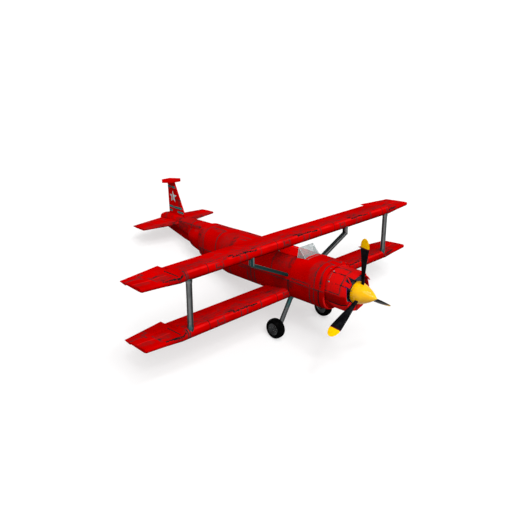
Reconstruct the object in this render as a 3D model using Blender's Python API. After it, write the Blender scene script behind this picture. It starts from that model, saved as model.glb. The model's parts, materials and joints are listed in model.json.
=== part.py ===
# Single-seat biplane standing on its two main wheels and a tail skid.
# Metres. In the airframe's own axes X is port, Y is aft and Z is up, with the propeller axis at Z 0
# and the interplane struts at Y 0. The whole airframe is then tilted back onto its skid.
import math

import bmesh
import bpy
from mathutils import Matrix, Vector

for old in list(bpy.data.objects):
    bpy.data.objects.remove(old, do_unlink=True)

# Clearances
FIT = 0.0006
AXLE_FIT = 0.0006
SOCKET_FIT = 0.0008

# Ground stand
GROUND_ANGLE = math.radians(14.2)
WHEEL_X = 0.855
WHEEL_Z = -1.100
TYRE_RADIUS = 0.235
SKID_Y = 5.290
SKID_RADIUS = 0.022
# Height of the airframe's origin with the tyres on the floor
STAND_HEIGHT = TYRE_RADIUS - WHEEL_Z * math.cos(GROUND_ANGLE)
# Moves the bounding box centre to Y 0
CENTRE_SHIFT = -1.6015

# Fuselage barrel: station, half width, half height, centre height
BARREL = (
    (-1.065, 0.490, 0.490, -0.005),
    (-1.030, 0.510, 0.510, -0.005),
    (-0.960, 0.510, 0.510, -0.005),
    (-0.900, 0.520, 0.520, -0.005),
    (0.000, 0.523, 0.523, -0.005),
    (2.100, 0.523, 0.523, -0.004),
    (2.420, 0.495, 0.497, 0.018),
    (2.750, 0.461, 0.466, 0.047),
    (3.080, 0.432, 0.440, 0.079),
    (3.190, 0.420, 0.430, 0.090),
    (3.240, 0.385, 0.400, 0.110),
)
BARREL_WALL = 0.035
LIP_WALL = 0.016
BARREL_POWER = 3.0
# Square-shouldered boom along the top; the keel below it starts as a round drum behind the barrel
BOOM = (
    (3.2406, 0.215, 0.325, 0.185),
    (3.700, 0.205, 0.262, 0.238),
    (4.030, 0.195, 0.190, 0.305),
    (4.300, 0.185, 0.150, 0.335),
    (5.150, 0.120, 0.090, 0.340),
)
BOOM_POWER = 4.0
# A keel station is followed by the lean of its ring, as y over z
KEEL = (
    (3.2406, 0.375, 0.370, 0.075, 0.00),
    (3.460, 0.355, 0.340, 0.070, 0.15),
    (3.680, 0.335, 0.305, 0.080, 0.38),
    (3.745, 0.290, 0.262, 0.085, 0.42),
    (3.770, 0.080, 0.160, -0.060, 0.30),
    (4.250, 0.070, 0.130, 0.013, 0.00),
    (5.100, 0.050, 0.060, 0.165, 0.00),
)
COCKPIT_FRONT = -0.200
COCKPIT_BACK = 1.080
COCKPIT_HALF_WIDTH = 0.270
FLOOR_Z = -0.330

# Hinge lugs stop this far short of the round nose of each control surface
LUG_FIT = 0.0008
LUG_HALF = 0.020

# Wings: half-span station, nose centre y, nose centre z, nose radius, trailing edge y, trailing edge z
UPPER = (
    (0.000, 0.066, 0.864, 0.126, 0.760, 0.850),
    (3.365, 0.066, 0.864, 0.126, 0.726, 0.850),
    (3.480, 0.060, 0.796, 0.068, 0.726, 0.850),
    (3.940, 0.050, 0.820, 0.047, 0.726, 0.854),
    (4.350, 0.047, 0.848, 0.048, 0.726, 0.856),
    (4.384, 0.054, 0.853, 0.037, 0.726, 0.856),
)
LOWER_DROP = 1.218
LOWER_SHIFT = -0.010
ROOT_X = 0.300
AILERON_IN = 3.400
AILERON_HINGE_Y = 0.520
AILERON_HINGE_Z = 0.842
AILERON_OUT = 4.384

# Struts
STRUT_X = 3.300
STRUT_RADIUS = 0.062
CABANE_FOOT = (0.450, 0.085)
CABANE_TOP = (1.606, 0.625)
LEG_TOP = (0.330, -0.450)
LEG_FOOT = (0.705, -1.060)
LEG_RADIUS = 0.055

# Propeller
PROP_Y = -1.703
PROP_RADIUS = 1.229
SPINNER_BACK = -1.570
SPINNER_TIP = -2.081
SPINNER_RADIUS = 0.251

# Tail
HINGE_STAB_Y = 4.740
STAB_Z = 0.350

MATERIALS = {}


def paint(name, colour, roughness, metallic=0.0, transmission=0.0):
    mat = bpy.data.materials.new(name)
    mat.use_nodes = True
    shader = mat.node_tree.nodes["Principled BSDF"]
    shader.inputs["Base Color"].default_value = (*colour, 1.0)
    shader.inputs["Roughness"].default_value = roughness
    shader.inputs["Metallic"].default_value = metallic
    shader.inputs["Transmission Weight"].default_value = transmission
    MATERIALS[name] = mat


paint("red_paint", (0.58, 0.005, 0.005), 0.45)
paint("dark_tube", (0.045, 0.055, 0.055), 0.35, 0.6)
paint("tyre_rubber", (0.012, 0.012, 0.013), 0.8)
paint("hub_metal", (0.10, 0.10, 0.11), 0.35, 0.8)
paint("spinner_yellow", (0.85, 0.50, 0.0), 0.3)
paint("blade_black", (0.010, 0.010, 0.016), 0.4)
paint("intake_dark", (0.012, 0.02, 0.05), 0.5, 0.4)
paint("screen_glass", (0.75, 0.80, 0.80), 0.05, 0.0, 0.9)
paint("seat_leather", (0.09, 0.045, 0.02), 0.6)
paint("cabin_grey", (0.12, 0.13, 0.12), 0.6)
paint("engine_metal", (0.16, 0.16, 0.17), 0.45, 0.7)

airframe = bpy.data.objects.new("airframe", None)
bpy.context.collection.objects.link(airframe)


def place(obj, parent=None):
    bpy.context.collection.objects.link(obj)
    obj.parent = parent or airframe
    return obj


def pivot(name, at, axis=(1, 0, 0)):
    """An empty at a joint, its own X along the joint's axis."""
    empty = bpy.data.objects.new(name, None)
    place(empty)
    turn = Vector((1, 0, 0)).rotation_difference(Vector(axis).normalized())
    empty.matrix_basis = Matrix.Translation(at) @ turn.to_matrix().to_4x4()
    return empty


def mesh_object(name, bm, mat, parent=None, smooth_angle=None):
    """Closed mesh given in airframe coordinates; it is re-expressed in the parent's own axes."""
    bmesh.ops.recalc_face_normals(bm, faces=bm.faces)
    mesh = bpy.data.meshes.new(name)
    bm.to_mesh(mesh)
    bm.free()
    if parent is not None:
        mesh.transform(parent.matrix_basis.inverted())
    mesh.materials.append(MATERIALS[mat])
    obj = bpy.data.objects.new(name, mesh)
    place(obj, parent)
    if smooth_angle is not None:
        mesh.shade_smooth()
        mesh.set_sharp_from_angle(angle=math.radians(smooth_angle))
    return obj


def skin(bm, rings, closed=False):
    """Joins rings of equal length into a closed body, with end caps unless the chain is closed."""
    loops = [[bm.verts.new(p) for p in ring] for ring in rings]
    count = len(loops[0])
    pairs = list(zip(loops, loops[1:]))
    if closed:
        pairs.append((loops[-1], loops[0]))
    for a, b in pairs:
        for i in range(count):
            j = (i + 1) % count
            bm.faces.new((a[i], a[j], b[j], b[i]))
    if not closed:
        bm.faces.new(loops[0])
        bm.faces.new(list(reversed(loops[-1])))
    return bm


def oval(y, half_width, half_height, z, power, count=48):
    ring = []
    for i in range(count):
        a = 2 * math.pi * i / count
        c, s = math.cos(a), math.sin(a)
        x = half_width * math.copysign(abs(c) ** (2 / power), c)
        h = half_height * math.copysign(abs(s) ** (2 / power), s)
        ring.append((x, y, z + h))
    return ring


def lofted(stations, power, grow=0.0, count=48):
    bm = bmesh.new()
    return skin(bm, [oval(y, w + grow, h + grow, z, power, count) for y, w, h, z in stations])


def tube(bm, points, radius, count=20):
    """Round bar through the points, mitred at the bends."""
    points = [Vector(p) for p in points]
    rings = []
    for i, p in enumerate(points):
        into = (p - points[i - 1]).normalized() if i else None
        out = (points[i + 1] - p).normalized() if i + 1 < len(points) else None
        along = ((into or out) + (out or into)).normalized()
        straight = out or into
        stretch = 1.0 / max(0.3, along.dot(straight))
        side = Vector((0, 1, 0)) if abs(along.y) < 0.9 else Vector((1, 0, 0))
        side = (side - along * side.dot(along)).normalized()
        up = along.cross(side)
        rings.append([
            p + side * math.cos(t) * radius + up * math.sin(t) * radius * stretch
            for t in (2 * math.pi * k / count for k in range(count))
        ])
    return skin(bm, rings)


def turned(bm, profile, centre, axis, count=48):
    """Body of revolution; profile is (distance along the axis, radius), closed if both ends are at radius 0."""
    axis = Vector(axis).normalized()
    side = Vector((0, 0, 1)) if abs(axis.z) < 0.9 else Vector((1, 0, 0))
    side = (side - axis * side.dot(axis)).normalized()
    up = axis.cross(side)
    centre = Vector(centre)
    rings = []
    for t, r in profile:
        rings.append([
            centre + axis * t + (side * math.cos(a) + up * math.sin(a)) * r
            for a in (2 * math.pi * k / count for k in range(count))
        ])
    return rings


def solid_turn(profile, centre, axis, count=48):
    bm = bmesh.new()
    return skin(bm, turned(bm, profile, centre, axis, count))


def ring_turn(profile, centre, axis, count=48):
    bm = bmesh.new()
    return skin(bm, turned(bm, profile, centre, axis, count), closed=True)


def block(low, high):
    bm = bmesh.new()
    bmesh.ops.create_cube(bm, size=1.0)
    low, high = Vector(low), Vector(high)
    for v in bm.verts:
        v.co = Vector(low[i] + (v.co[i] + 0.5) * (high[i] - low[i]) for i in range(3))
    return bm


def plate(outline, thickness, normal):
    """Flat plate from an outline in space, half the thickness to each side."""
    half = Vector(normal).normalized() * thickness / 2
    bm = bmesh.new()
    return skin(bm, [[Vector(p) - half for p in outline], [Vector(p) + half for p in outline]])


def cutter(name, bm):
    bmesh.ops.recalc_face_normals(bm, faces=bm.faces)
    mesh = bpy.data.meshes.new(name)
    bm.to_mesh(mesh)
    bm.free()
    obj = bpy.data.objects.new(name, mesh)
    place(obj)
    obj.hide_render = True
    obj.display_type = "WIRE"
    return obj


def cut(obj, tools, operation="DIFFERENCE"):
    """Applies the cuts at once, so that the mesh kept is plain."""
    for tool in tools:
        mod = obj.modifiers.new("cut", "BOOLEAN")
        mod.operation = operation
        mod.solver = "EXACT"
        mod.object = tool
    bpy.context.view_layer.update()
    graph = bpy.context.evaluated_depsgraph_get()
    done = bpy.data.meshes.new_from_object(obj.evaluated_get(graph))
    obj.modifiers.clear()
    obj.data = done


def section(x, nose_y, nose_z, radius, tail_y, tail_z, grow=0.0, tail=0.007, steps=10):
    """Wing section: round nose, then two straight sides down to a thin trailing edge."""
    radius += grow
    ring = []
    for k in range(steps + 1):
        a = math.radians(100 + 160 * k / steps)
        ring.append((x, nose_y + radius * math.cos(a), nose_z + radius * math.sin(a)))
    ring.append((x, tail_y + grow, tail_z - tail - grow))
    ring.append((x, tail_y + grow, tail_z + tail + grow))
    return ring


def wing_rows(table, drop=0.0, shift=0.0, grow=0.0, side=1):
    return [
        section(side * x, ny + shift, nz - drop, r, ty + shift, tz - drop, grow)
        for x, ny, nz, r, ty, tz in table
    ]


# Fuselage
barrel = mesh_object("fuselage", lofted(BARREL, BARREL_POWER), "red_paint", None, 35)
inner = [(y, w - BARREL_WALL, h - BARREL_WALL, z) for y, w, h, z in BARREL]
inner[0] = (BARREL[0][0] - 0.05, BARREL[0][1] - LIP_WALL, BARREL[0][2] - LIP_WALL, BARREL[0][3])
inner[-1] = (3.195, *inner[-1][1:])
hollow = cutter("hollow_cutter", lofted(inner, BARREL_POWER))
inner_space = cutter("inner_space", lofted(inner, BARREL_POWER, -FIT))
opening = cutter("opening_cutter", skin(bmesh.new(), [
    [(x * COCKPIT_HALF_WIDTH, (COCKPIT_FRONT + COCKPIT_BACK) / 2 + y * (COCKPIT_BACK - COCKPIT_FRONT) / 2, z)
     for x, y in (
         (math.copysign(abs(math.cos(a)) ** 0.5, math.cos(a)), math.copysign(abs(math.sin(a)) ** 0.5, math.sin(a)))
         for a in (2 * math.pi * k / 40 for k in range(40)))]
    for z in (0.25, 0.80)
]))
cut(barrel, [hollow, opening])
skin_cutter = cutter("skin_cutter", lofted(BARREL, BARREL_POWER, FIT))
boom = mesh_object("tail_boom", lofted(BOOM, BOOM_POWER), "red_paint", None, 35)
boom_cutter = cutter("boom_cutter", lofted([(BOOM[0][0] - 0.02, *BOOM[0][1:]), *BOOM], BOOM_POWER, 2 * FIT))


def keel_body(grow=0.0):
    rings = []
    for y, w, h, z, lean in KEEL:
        ring = oval(y, w + grow, h + grow, z, 2.2)
        rings.append([(px, py + lean * (pz - z), pz) for px, py, pz in ring])
    return skin(bmesh.new(), rings)


keel = mesh_object("boom_keel", keel_body(), "red_paint", None, 35)
cut(keel, [boom_cutter])
keel_cutter = cutter("keel_cutter", keel_body(2 * FIT))


# Pieces that fill the barrel are wide blocks trimmed to its inside
for name, low, high in (
    ("firewall", (-0.6, -0.700, -0.6), (0.6, -0.680, 0.6)),
    ("seat_bulkhead", (-0.6, 1.130, -0.6), (0.6, 1.145, 0.6)),
    ("cockpit_floor", (-0.6, -0.6794, FLOOR_Z - 0.02), (0.6, 1.1294, FLOOR_Z)),
    ("instrument_panel", (-0.6, 0.100, 0.080), (0.6, 0.120, 0.340)),
):
    cut(mesh_object(name, block(low, high), "cabin_grey"), [inner_space], "INTERSECT")

# Seat, its post and cushion, and the control stick, each given as a side outline
SEAT_PIECES = (
    ("seat", 0.210, "cabin_grey", ((0.600, -0.200), (0.990, -0.215), (1.085, 0.330), (1.115, 0.330),
                                   (1.020, -0.245), (0.600, -0.230))),
    ("seat_post", 0.150, "cabin_grey", ((0.670, FLOOR_Z + FIT), (0.950, FLOOR_Z + FIT), (0.950, -0.2435),
                                        (0.670, -0.2335))),
    ("seat_cushion", 0.190, "seat_leather", ((0.612, -0.1998), (0.970, -0.2136), (0.978, -0.150),
                                             (0.612, -0.140))),
)
for name, half, mat, outline in SEAT_PIECES:
    mesh_object(name, skin(bmesh.new(), [[(x, y, z) for y, z in outline] for x in (-half, half)]), mat)
stick_line = [(0, 0.430, FLOOR_Z + FIT), (0, 0.430, -0.150), (0, 0.390, 0.080)]
mesh_object("control_stick", tube(bmesh.new(), stick_line, 0.015, 12), "dark_tube", None, 35)

# Windscreen: a folded pane, slanted front and two triangular sides
screen_outer = [(-0.290, -0.110, 0.420), (-0.240, -0.380, 0.420), (0.240, -0.380, 0.420),
                (0.290, -0.110, 0.420)]
screen_inner = [(-0.281, -0.110, 0.420), (-0.233, -0.371, 0.420), (0.233, -0.371, 0.420),
                (0.281, -0.110, 0.420)]
top_outer = [(-0.243, -0.110, 0.715), (-0.243, -0.118, 0.715), (0.243, -0.118, 0.715), (0.243, -0.110, 0.715)]
top_inner = [(-0.235, -0.1105, 0.706), (-0.235, -0.111, 0.706), (0.235, -0.111, 0.706), (0.235, -0.1105, 0.706)]
screen_rings = [screen_outer + screen_inner[::-1], top_outer + top_inner[::-1]]
screen = mesh_object("windscreen", skin(bmesh.new(), screen_rings), "screen_glass")
cut(screen, [skin_cutter])

# Nose: faceted cowling with flat petals, intake ring, engine block
COWL_SIDES = 12
PETAL_BACK = -1.470
PETAL_BACK_RADIUS = 0.470
PETAL_WALL = 0.022
# Front edge of the petals, station and outer radius, every 30 degrees from port over the top
PETAL_FRONTS = (
    (-1.594, 0.420), (-1.636, 0.424), (-1.636, 0.438), (-1.636, 0.438), (-1.636, 0.438), (-1.636, 0.424),
    (-1.594, 0.420), (-1.594, 0.420), (-1.594, 0.420), (-1.594, 0.420), (-1.594, 0.420), (-1.594, 0.420),
)
# Between these angles below the spinner the front edge runs inwards as a lip
LIP_ANGLES = (210, 330)
LIP_EDGE = (-1.590, 0.285)


def petal_front(angle):
    """Station and outer radius of the petals' front edge at an angle in degrees."""
    number, share = divmod(angle / 30, 1)
    a = PETAL_FRONTS[int(number) % 12]
    b = PETAL_FRONTS[int(number + 1) % 12]
    return tuple(p + (q - p) * share for p, q in zip(a, b))


cowl_rings = []
for half in range(2 * COWL_SIDES):
    angle = half * 180 / COWL_SIDES
    flat = math.cos(math.pi / COWL_SIDES) if half % 2 else 1.0
    front, radius = petal_front(angle)
    inner_edge = LIP_EDGE if LIP_ANGLES[0] <= angle <= LIP_ANGLES[1] else (front, radius - PETAL_WALL)
    profile = (
        (-0.975, 0.560), (-1.000, 0.560), (-1.005, 0.462), (-1.300, 0.472), (PETAL_BACK, PETAL_BACK_RADIUS),
        (front, radius), inner_edge, (PETAL_BACK, 0.440), (-0.975, 0.440),
    )
    out = Vector((math.cos(math.radians(angle)), 0, math.sin(math.radians(angle)))) * flat
    cowl_rings.append([out * r + Vector((0, y, 0)) for y, r in profile])
cowl = mesh_object("engine_cowl", skin(bmesh.new(), cowl_rings, closed=True), "red_paint")
flange_limit = BARREL[1][1] - BARREL_WALL - FIT
cut(cowl, [cutter("cowl_limit", lofted(((-1.75, 0.62, 0.62, -0.005), (-1.032, 0.62, 0.62, -0.005),
                                        (-1.0310, flange_limit, flange_limit, -0.005),
                                        (-0.955, flange_limit, flange_limit, -0.005)),
                                       BARREL_POWER))], "INTERSECT")

# Openings in the upper front petals. Two in the shoulder petal leave a thin diagonal bar, a slot parts it from
# the petal below, and that petal's front edge is cut back. A row is the petal's middle angle from the top, then
# each corner as its share of the petal's width from the upper edge, and of the petal's length from the back
PETAL_OPENINGS = (
    (45, ((0.02, 0.02), (0.02, 1.40), (0.72, 1.40), (0.54, 1.00))),
    (45, ((0.13, 0.03), (0.53, 0.03), (0.60, 0.86))),
    (75, ((0.00, 0.10), (0.00, 1.40), (0.17, 1.40), (0.05, 0.10))),
    (75, ((0.08, 0.63), (0.08, 1.40), (1.01, 1.40), (1.01, 0.86))),
)
petal_cutters = []
for side in (-1, 1):
    for number, (middle, corners) in enumerate(PETAL_OPENINGS):
        turn = math.radians(middle)
        outward = Vector((side * math.sin(turn), 0, math.cos(turn)))
        down = Vector((side * math.cos(turn), 0, -math.sin(turn)))
        front, front_radius = petal_front(90 - middle)
        rings = []
        for depth in (0.300, 0.550):
            ring = []
            for across, along in corners:
                radius = PETAL_BACK_RADIUS + (front_radius - PETAL_BACK_RADIUS) * along
                width = 2 * radius * math.sin(math.pi / COWL_SIDES)
                y = PETAL_BACK + (front - PETAL_BACK) * along
                ring.append(outward * depth + down * (across - 0.5) * width + Vector((0, y, 0)))
            rings.append(ring)
        petal_cutters.append(cutter(f"petal_cutter_{side}_{number}", skin(bmesh.new(), rings)))
cut(cowl, petal_cutters)
mesh_object("intake_ring", ring_turn([(-1.4690, 0.4243), (-1.4690, 0.230), (-1.4006, 0.230), (-1.4006, 0.4243)],
                                     (0, 0, 0), (0, 1, 0), 48), "intake_dark", None, 35)
mesh_object("engine_block", block((-0.280, -1.400, -0.280), (0.280, -0.7006, 0.280)), "engine_metal")

# Propeller: shaft, spinner and three blades turn together
prop = pivot("propeller_axis", (0, PROP_Y, 0), (0, 1, 0))
mesh_object("propeller_shaft", solid_turn([(-1.700, 0.060), (-1.4008, 0.060)], (0, 0, 0), (0, 1, 0), 32),
            "engine_metal", prop, 35)
spinner_profile = [(SPINNER_BACK, 0.062)]
for k in range(13):
    t = k / 12
    r = SPINNER_RADIUS * (1 - t ** 1.6) ** 0.85
    spinner_profile.append((SPINNER_BACK + (SPINNER_TIP - SPINNER_BACK) * t, max(r, 0.010)))
spinner_body = solid_turn(spinner_profile, (0, 0, 0), (0, 1, 0), 48)
spinner = mesh_object("spinner", spinner_body, "spinner_yellow", prop, 35)

# Blade: distance out, half chord, half thickness, pitch in degrees
BLADE = (
    (0.100, 0.036, 0.030, 68),
    (0.240, 0.039, 0.028, 68),
    (0.330, 0.046, 0.028, 68),
    (0.510, 0.070, 0.028, 68),
    (0.740, 0.099, 0.024, 71),
    (1.000, 0.130, 0.016, 79),
    (1.080, 0.126, 0.013, 80),
    (1.150, 0.105, 0.010, 81),
    (1.200, 0.072, 0.008, 81),
    (PROP_RADIUS, 0.028, 0.005, 81),
)


def blade(angle, grow=0.0):
    rings = []
    for out, chord, thick, pitch in BLADE:
        p = math.radians(pitch)
        if out == BLADE[0][0]:
            out -= 2 * grow
        ring = []
        for k in range(16):
            a = 2 * math.pi * k / 16
            u = (chord + grow) * math.cos(a)
            v = (thick + grow) * math.sin(a)
            across = u * math.cos(p) - v * math.sin(p)
            ahead = u * math.sin(p) + v * math.cos(p)
            ring.append(Vector((across, PROP_Y + ahead, out)))
        rings.append(ring)
    turn = Matrix.Rotation(math.radians(angle), 4, "Y")
    return skin(bmesh.new(), [[turn @ p for p in ring] for ring in rings])


sockets = []
for number, angle in enumerate((0, 120, 240), 1):
    mesh_object(f"blade_{number}", blade(angle), "blade_black", prop, 40)
    sockets.append(cutter(f"socket_cutter_{number}", blade(angle, SOCKET_FIT)))
bore = cutter("bore_cutter", solid_turn([(-1.702, 0.0605), (-1.400, 0.0605)], (0, 0, 0), (0, 1, 0), 32))

# Upper wing, lower wings and the four ailerons
upper_rows = wing_rows(UPPER[::-1], side=-1) + wing_rows(UPPER[1:])
upper_wing = mesh_object("upper_wing", skin(bmesh.new(), upper_rows), "red_paint", None, 35)
upper_cutter = cutter("upper_cutter", skin(bmesh.new(), wing_rows(UPPER[::-1], grow=FIT, side=-1)
                                           + wing_rows(UPPER[1:], grow=FIT)))
LOWER = ((ROOT_X, *UPPER[0][1:4], 0.726, 0.850), *UPPER[1:])
lower_wings = {}
lower_cutters = {}
for side, tag in ((-1, "right"), (1, "left")):
    rows = wing_rows(LOWER, LOWER_DROP, LOWER_SHIFT, side=side)
    lower_wings[tag] = mesh_object(f"lower_wing_{tag}", skin(bmesh.new(), rows), "red_paint", None, 35)
    cut(lower_wings[tag], [skin_cutter])
    lower_cutters[tag] = cutter(f"lower_cutter_{tag}", skin(bmesh.new(), wing_rows(
        LOWER, LOWER_DROP, LOWER_SHIFT, FIT, side)))

# Aileron: a thin flap with a round nose on its hinge line; the wing is cut back around it
AILERON = (
    (AILERON_IN, 0.026, 0.862),
    (4.300, 0.029, 0.702),
    (AILERON_OUT, 0.026, 0.692),
)


def flap_rows(side, drop, shift, grow=0.0, table=AILERON):
    rows = []
    for x, radius, tail_y in table:
        x = side * x
        ring = []
        for k in range(9):
            a = math.radians(90 + 180 * k / 8)
            ring.append((x, AILERON_HINGE_Y + shift + (radius + grow) * math.cos(a),
                         AILERON_HINGE_Z - drop + (radius + grow) * math.sin(a)))
        ring.append((x, tail_y + shift + grow, AILERON_HINGE_Z + 0.010 - drop - 0.006 - grow))
        ring.append((x, tail_y + shift + grow, AILERON_HINGE_Z + 0.010 - drop + 0.006 + grow))
        rows.append(ring)
    return rows


# Plan of the space the aileron moves in; two ribs of the wing reach back to its nose and carry the hinges
BAY_FRONT = AILERON_HINGE_Y - 0.036
BAY_OUTLINE = [(AILERON_IN - 0.008, BAY_FRONT)]
for x, nose in ((3.600, 0.0269), (4.150, 0.0287)):
    rib = AILERON_HINGE_Y - nose - LUG_FIT
    BAY_OUTLINE += [(x - LUG_HALF, BAY_FRONT), (x - LUG_HALF, rib), (x + LUG_HALF, rib), (x + LUG_HALF, BAY_FRONT)]
BAY_OUTLINE += [(4.500, BAY_FRONT), (4.500, 1.000), (AILERON_IN - 0.008, 1.000)]

for level, drop, shift in (("upper", 0.0, 0.0), ("lower", LOWER_DROP, LOWER_SHIFT)):
    for side, tag in ((-1, "right"), (1, "left")):
        hinge = pivot(f"{level}_aileron_{tag}_axis",
                      (side * AILERON_IN, AILERON_HINGE_Y + shift, AILERON_HINGE_Z - drop))
        mesh_object(f"{level}_aileron_{tag}", skin(bmesh.new(), flap_rows(side, drop, shift)), "red_paint", hinge, 35)
        bay = cutter(f"{level}_bay_{tag}", skin(bmesh.new(), [
            [(side * x, y + shift, z - drop) for x, y in BAY_OUTLINE] for z in (0.60, 1.10)]))
        cut(upper_wing if level == "upper" else lower_wings[tag], [bay])

# Struts between the wings
for side, tag in ((-1, "right"), (1, "left")):
    strut = mesh_object(f"wing_strut_{tag}", tube(bmesh.new(), [
        (side * STRUT_X, 0.0, -0.340), (side * STRUT_X, 0.0, 0.800)], STRUT_RADIUS, 24), "dark_tube", None, 35)
    cut(strut, [upper_cutter, lower_cutters[tag]])

# Centre-section struts: a thick front tube and a thin rear tube from the fuselage side to the upper wing
for side, tag in ((-1, "right"), (1, "left")):
    parts = []
    for y, radius in ((-0.022, 0.042), (0.055, 0.027)):
        points = [(side * CABANE_FOOT[0], y, CABANE_FOOT[1]), (side * CABANE_TOP[0], y, CABANE_TOP[1]),
                  (side * CABANE_TOP[0], y, 0.800)]
        parts.append(tube(bmesh.new(), points, radius, 20))
    names = ("front", "rear")
    for label, bm in zip(names, parts):
        rod = mesh_object(f"cabane_{label}_{tag}", bm, "dark_tube", None, 35)
        cut(rod, [upper_cutter, skin_cutter])

# Main gear: bent leg with its axle, wheel and tyre
for side, tag in ((-1, "right"), (1, "left")):
    leg = mesh_object(f"gear_leg_{tag}", tube(bmesh.new(), [
        (side * LEG_TOP[0], 0.0, LEG_TOP[1]), (side * LEG_FOOT[0], 0.0, LEG_FOOT[1]),
        (side * 0.735, 0.0, WHEEL_Z)], LEG_RADIUS, 20), "dark_tube", None, 35)
    cut(leg, [skin_cutter, lower_cutters[tag]])
    axle_rod = cutter(f"axle_tool_{tag}", solid_turn([(0.0, 0.030), (0.100, 0.030)],
                                                     (side * 0.730, 0.0, WHEEL_Z), (side, 0, 0), 24))
    cut(leg, [axle_rod], "UNION")
    wheel = pivot(f"wheel_{tag}_axis", (side * WHEEL_X, 0.0, WHEEL_Z))
    hub_profile = [
        (-0.070, 0.030 + AXLE_FIT), (-0.070, 0.060), (-0.082, 0.130), (-0.055, 0.142), (0.055, 0.142),
        (0.082, 0.130), (0.020, 0.045), (0.010, 0.012), (-0.010, 0.012), (-0.010, 0.030 + AXLE_FIT),
    ]
    mesh_object(f"wheel_{tag}", ring_turn([(side * t, r) for t, r in hub_profile],
                                          (side * WHEEL_X, 0, WHEEL_Z), (1, 0, 0), 40), "hub_metal", wheel, 30)
    tyre_profile = [(-0.0540, 0.1425), (-0.0850, 0.1310 + 0.006)]
    for k in range(13):
        a = math.pi * (1 - k / 12)
        tyre_profile.append((0.098 * math.copysign(abs(math.cos(a)) ** 0.75, math.cos(a)),
                             0.165 + (TYRE_RADIUS - 0.165) * math.sin(a) ** 0.7))
    tyre_profile += [(0.0850, 0.1370), (0.0540, 0.1425)]
    mesh_object(f"tyre_{tag}", ring_turn([(side * t, r) for t, r in tyre_profile],
                                         (side * WHEEL_X, 0, WHEEL_Z), (1, 0, 0), 48), "tyre_rubber", wheel, 35)

# Tail: stabiliser through the boom, two elevators, fin, rudder, cap plate, fairing over the tail
ELEVATOR_NOSE = 0.026
STAB_SPAN = 1.214
STAB_REAR = HINGE_STAB_Y - 0.036
STAB_RIB_REAR = HINGE_STAB_Y - ELEVATOR_NOSE - LUG_FIT


def stab_ring(x, rear, grow=0.0):
    out = abs(x) / STAB_SPAN
    half = 0.040 - 0.012 * out
    nose_y = 4.240 + 0.200 * out
    ring = []
    for k in range(9):
        a = math.radians(90 + 180 * k / 8)
        ring.append((x, nose_y + half + (half + grow) * math.cos(a), STAB_Z + (half + grow) * math.sin(a)))
    ring.append((x, rear + grow, STAB_Z - 0.026 - grow))
    ring.append((x, rear + grow, STAB_Z + 0.026 + grow))
    return ring


stab_stations = [(0.0, STAB_REAR)]
for rib in (0.400, 1.000):
    stab_stations += [(rib - LUG_HALF - 0.0005, STAB_REAR), (rib - LUG_HALF, STAB_RIB_REAR),
                      (rib + LUG_HALF, STAB_RIB_REAR), (rib + LUG_HALF + 0.0005, STAB_REAR)]
stab_stations.append((STAB_SPAN, STAB_REAR))
stab_stations = [(-x, rear) for x, rear in stab_stations[:0:-1]] + stab_stations
stab_rings = [stab_ring(x, rear) for x, rear in stab_stations]
mesh_object("stabiliser", skin(bmesh.new(), stab_rings), "red_paint", None, 35)
stab_tool = cutter("stab_cutter", skin(bmesh.new(), [
    stab_ring(x, STAB_REAR, 2.5 * FIT) for x in (-STAB_SPAN, 0.0, STAB_SPAN)]))
for side, tag in ((-1, "right"), (1, "left")):
    hinge = pivot(f"elevator_{tag}_axis", (side * 0.19, HINGE_STAB_Y, STAB_Z))
    rows = []
    for x, tail_y in ((0.172, 5.100), (1.214, 4.946)):
        ring = []
        for k in range(9):
            a = math.radians(90 + 180 * k / 8)
            ring.append((side * x, HINGE_STAB_Y + 0.026 * math.cos(a), STAB_Z + 0.026 * math.sin(a)))
        ring.append((side * x, tail_y, STAB_Z - 0.007))
        ring.append((side * x, tail_y, STAB_Z + 0.007))
        rows.append(ring)
    mesh_object(f"elevator_{tag}", skin(bmesh.new(), rows), "red_paint", hinge, 35)

FAIRING = (
    (4.200, 0.120, 0.150, 0.300),
    (4.330, 0.155, 0.190, 0.325),
    (4.950, 0.152, 0.195, 0.328),
    (5.100, 0.140, 0.160, 0.325),
    (5.190, 0.118, 0.112, 0.335),
    (5.235, 0.080, 0.065, 0.342),
)
FAIRING_POWER = 2.5
fairing = mesh_object("tail_fairing", lofted(FAIRING, FAIRING_POWER), "red_paint", None, 35)
cut(fairing, [boom_cutter, stab_tool, keel_cutter])
cut(boom, [stab_tool])
fairing_tool = cutter("fairing_cutter", lofted(FAIRING, FAIRING_POWER, FIT))

# Fin and rudder in side view: height, leading edge, hinge, trailing edge
FIN_HALF = 0.024
RUDDER_NOSE = 0.021
rudder_foot = Vector((0, 4.668, 0.535))
rudder_head = Vector((0, 4.795, 1.410))
rudder_slope = (rudder_head.y - rudder_foot.y) / (rudder_head.z - rudder_foot.z)


def ahead_of_hinge(z, distance):
    return (0, rudder_foot.y + (z - rudder_foot.z) * rudder_slope - distance, z)


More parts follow.
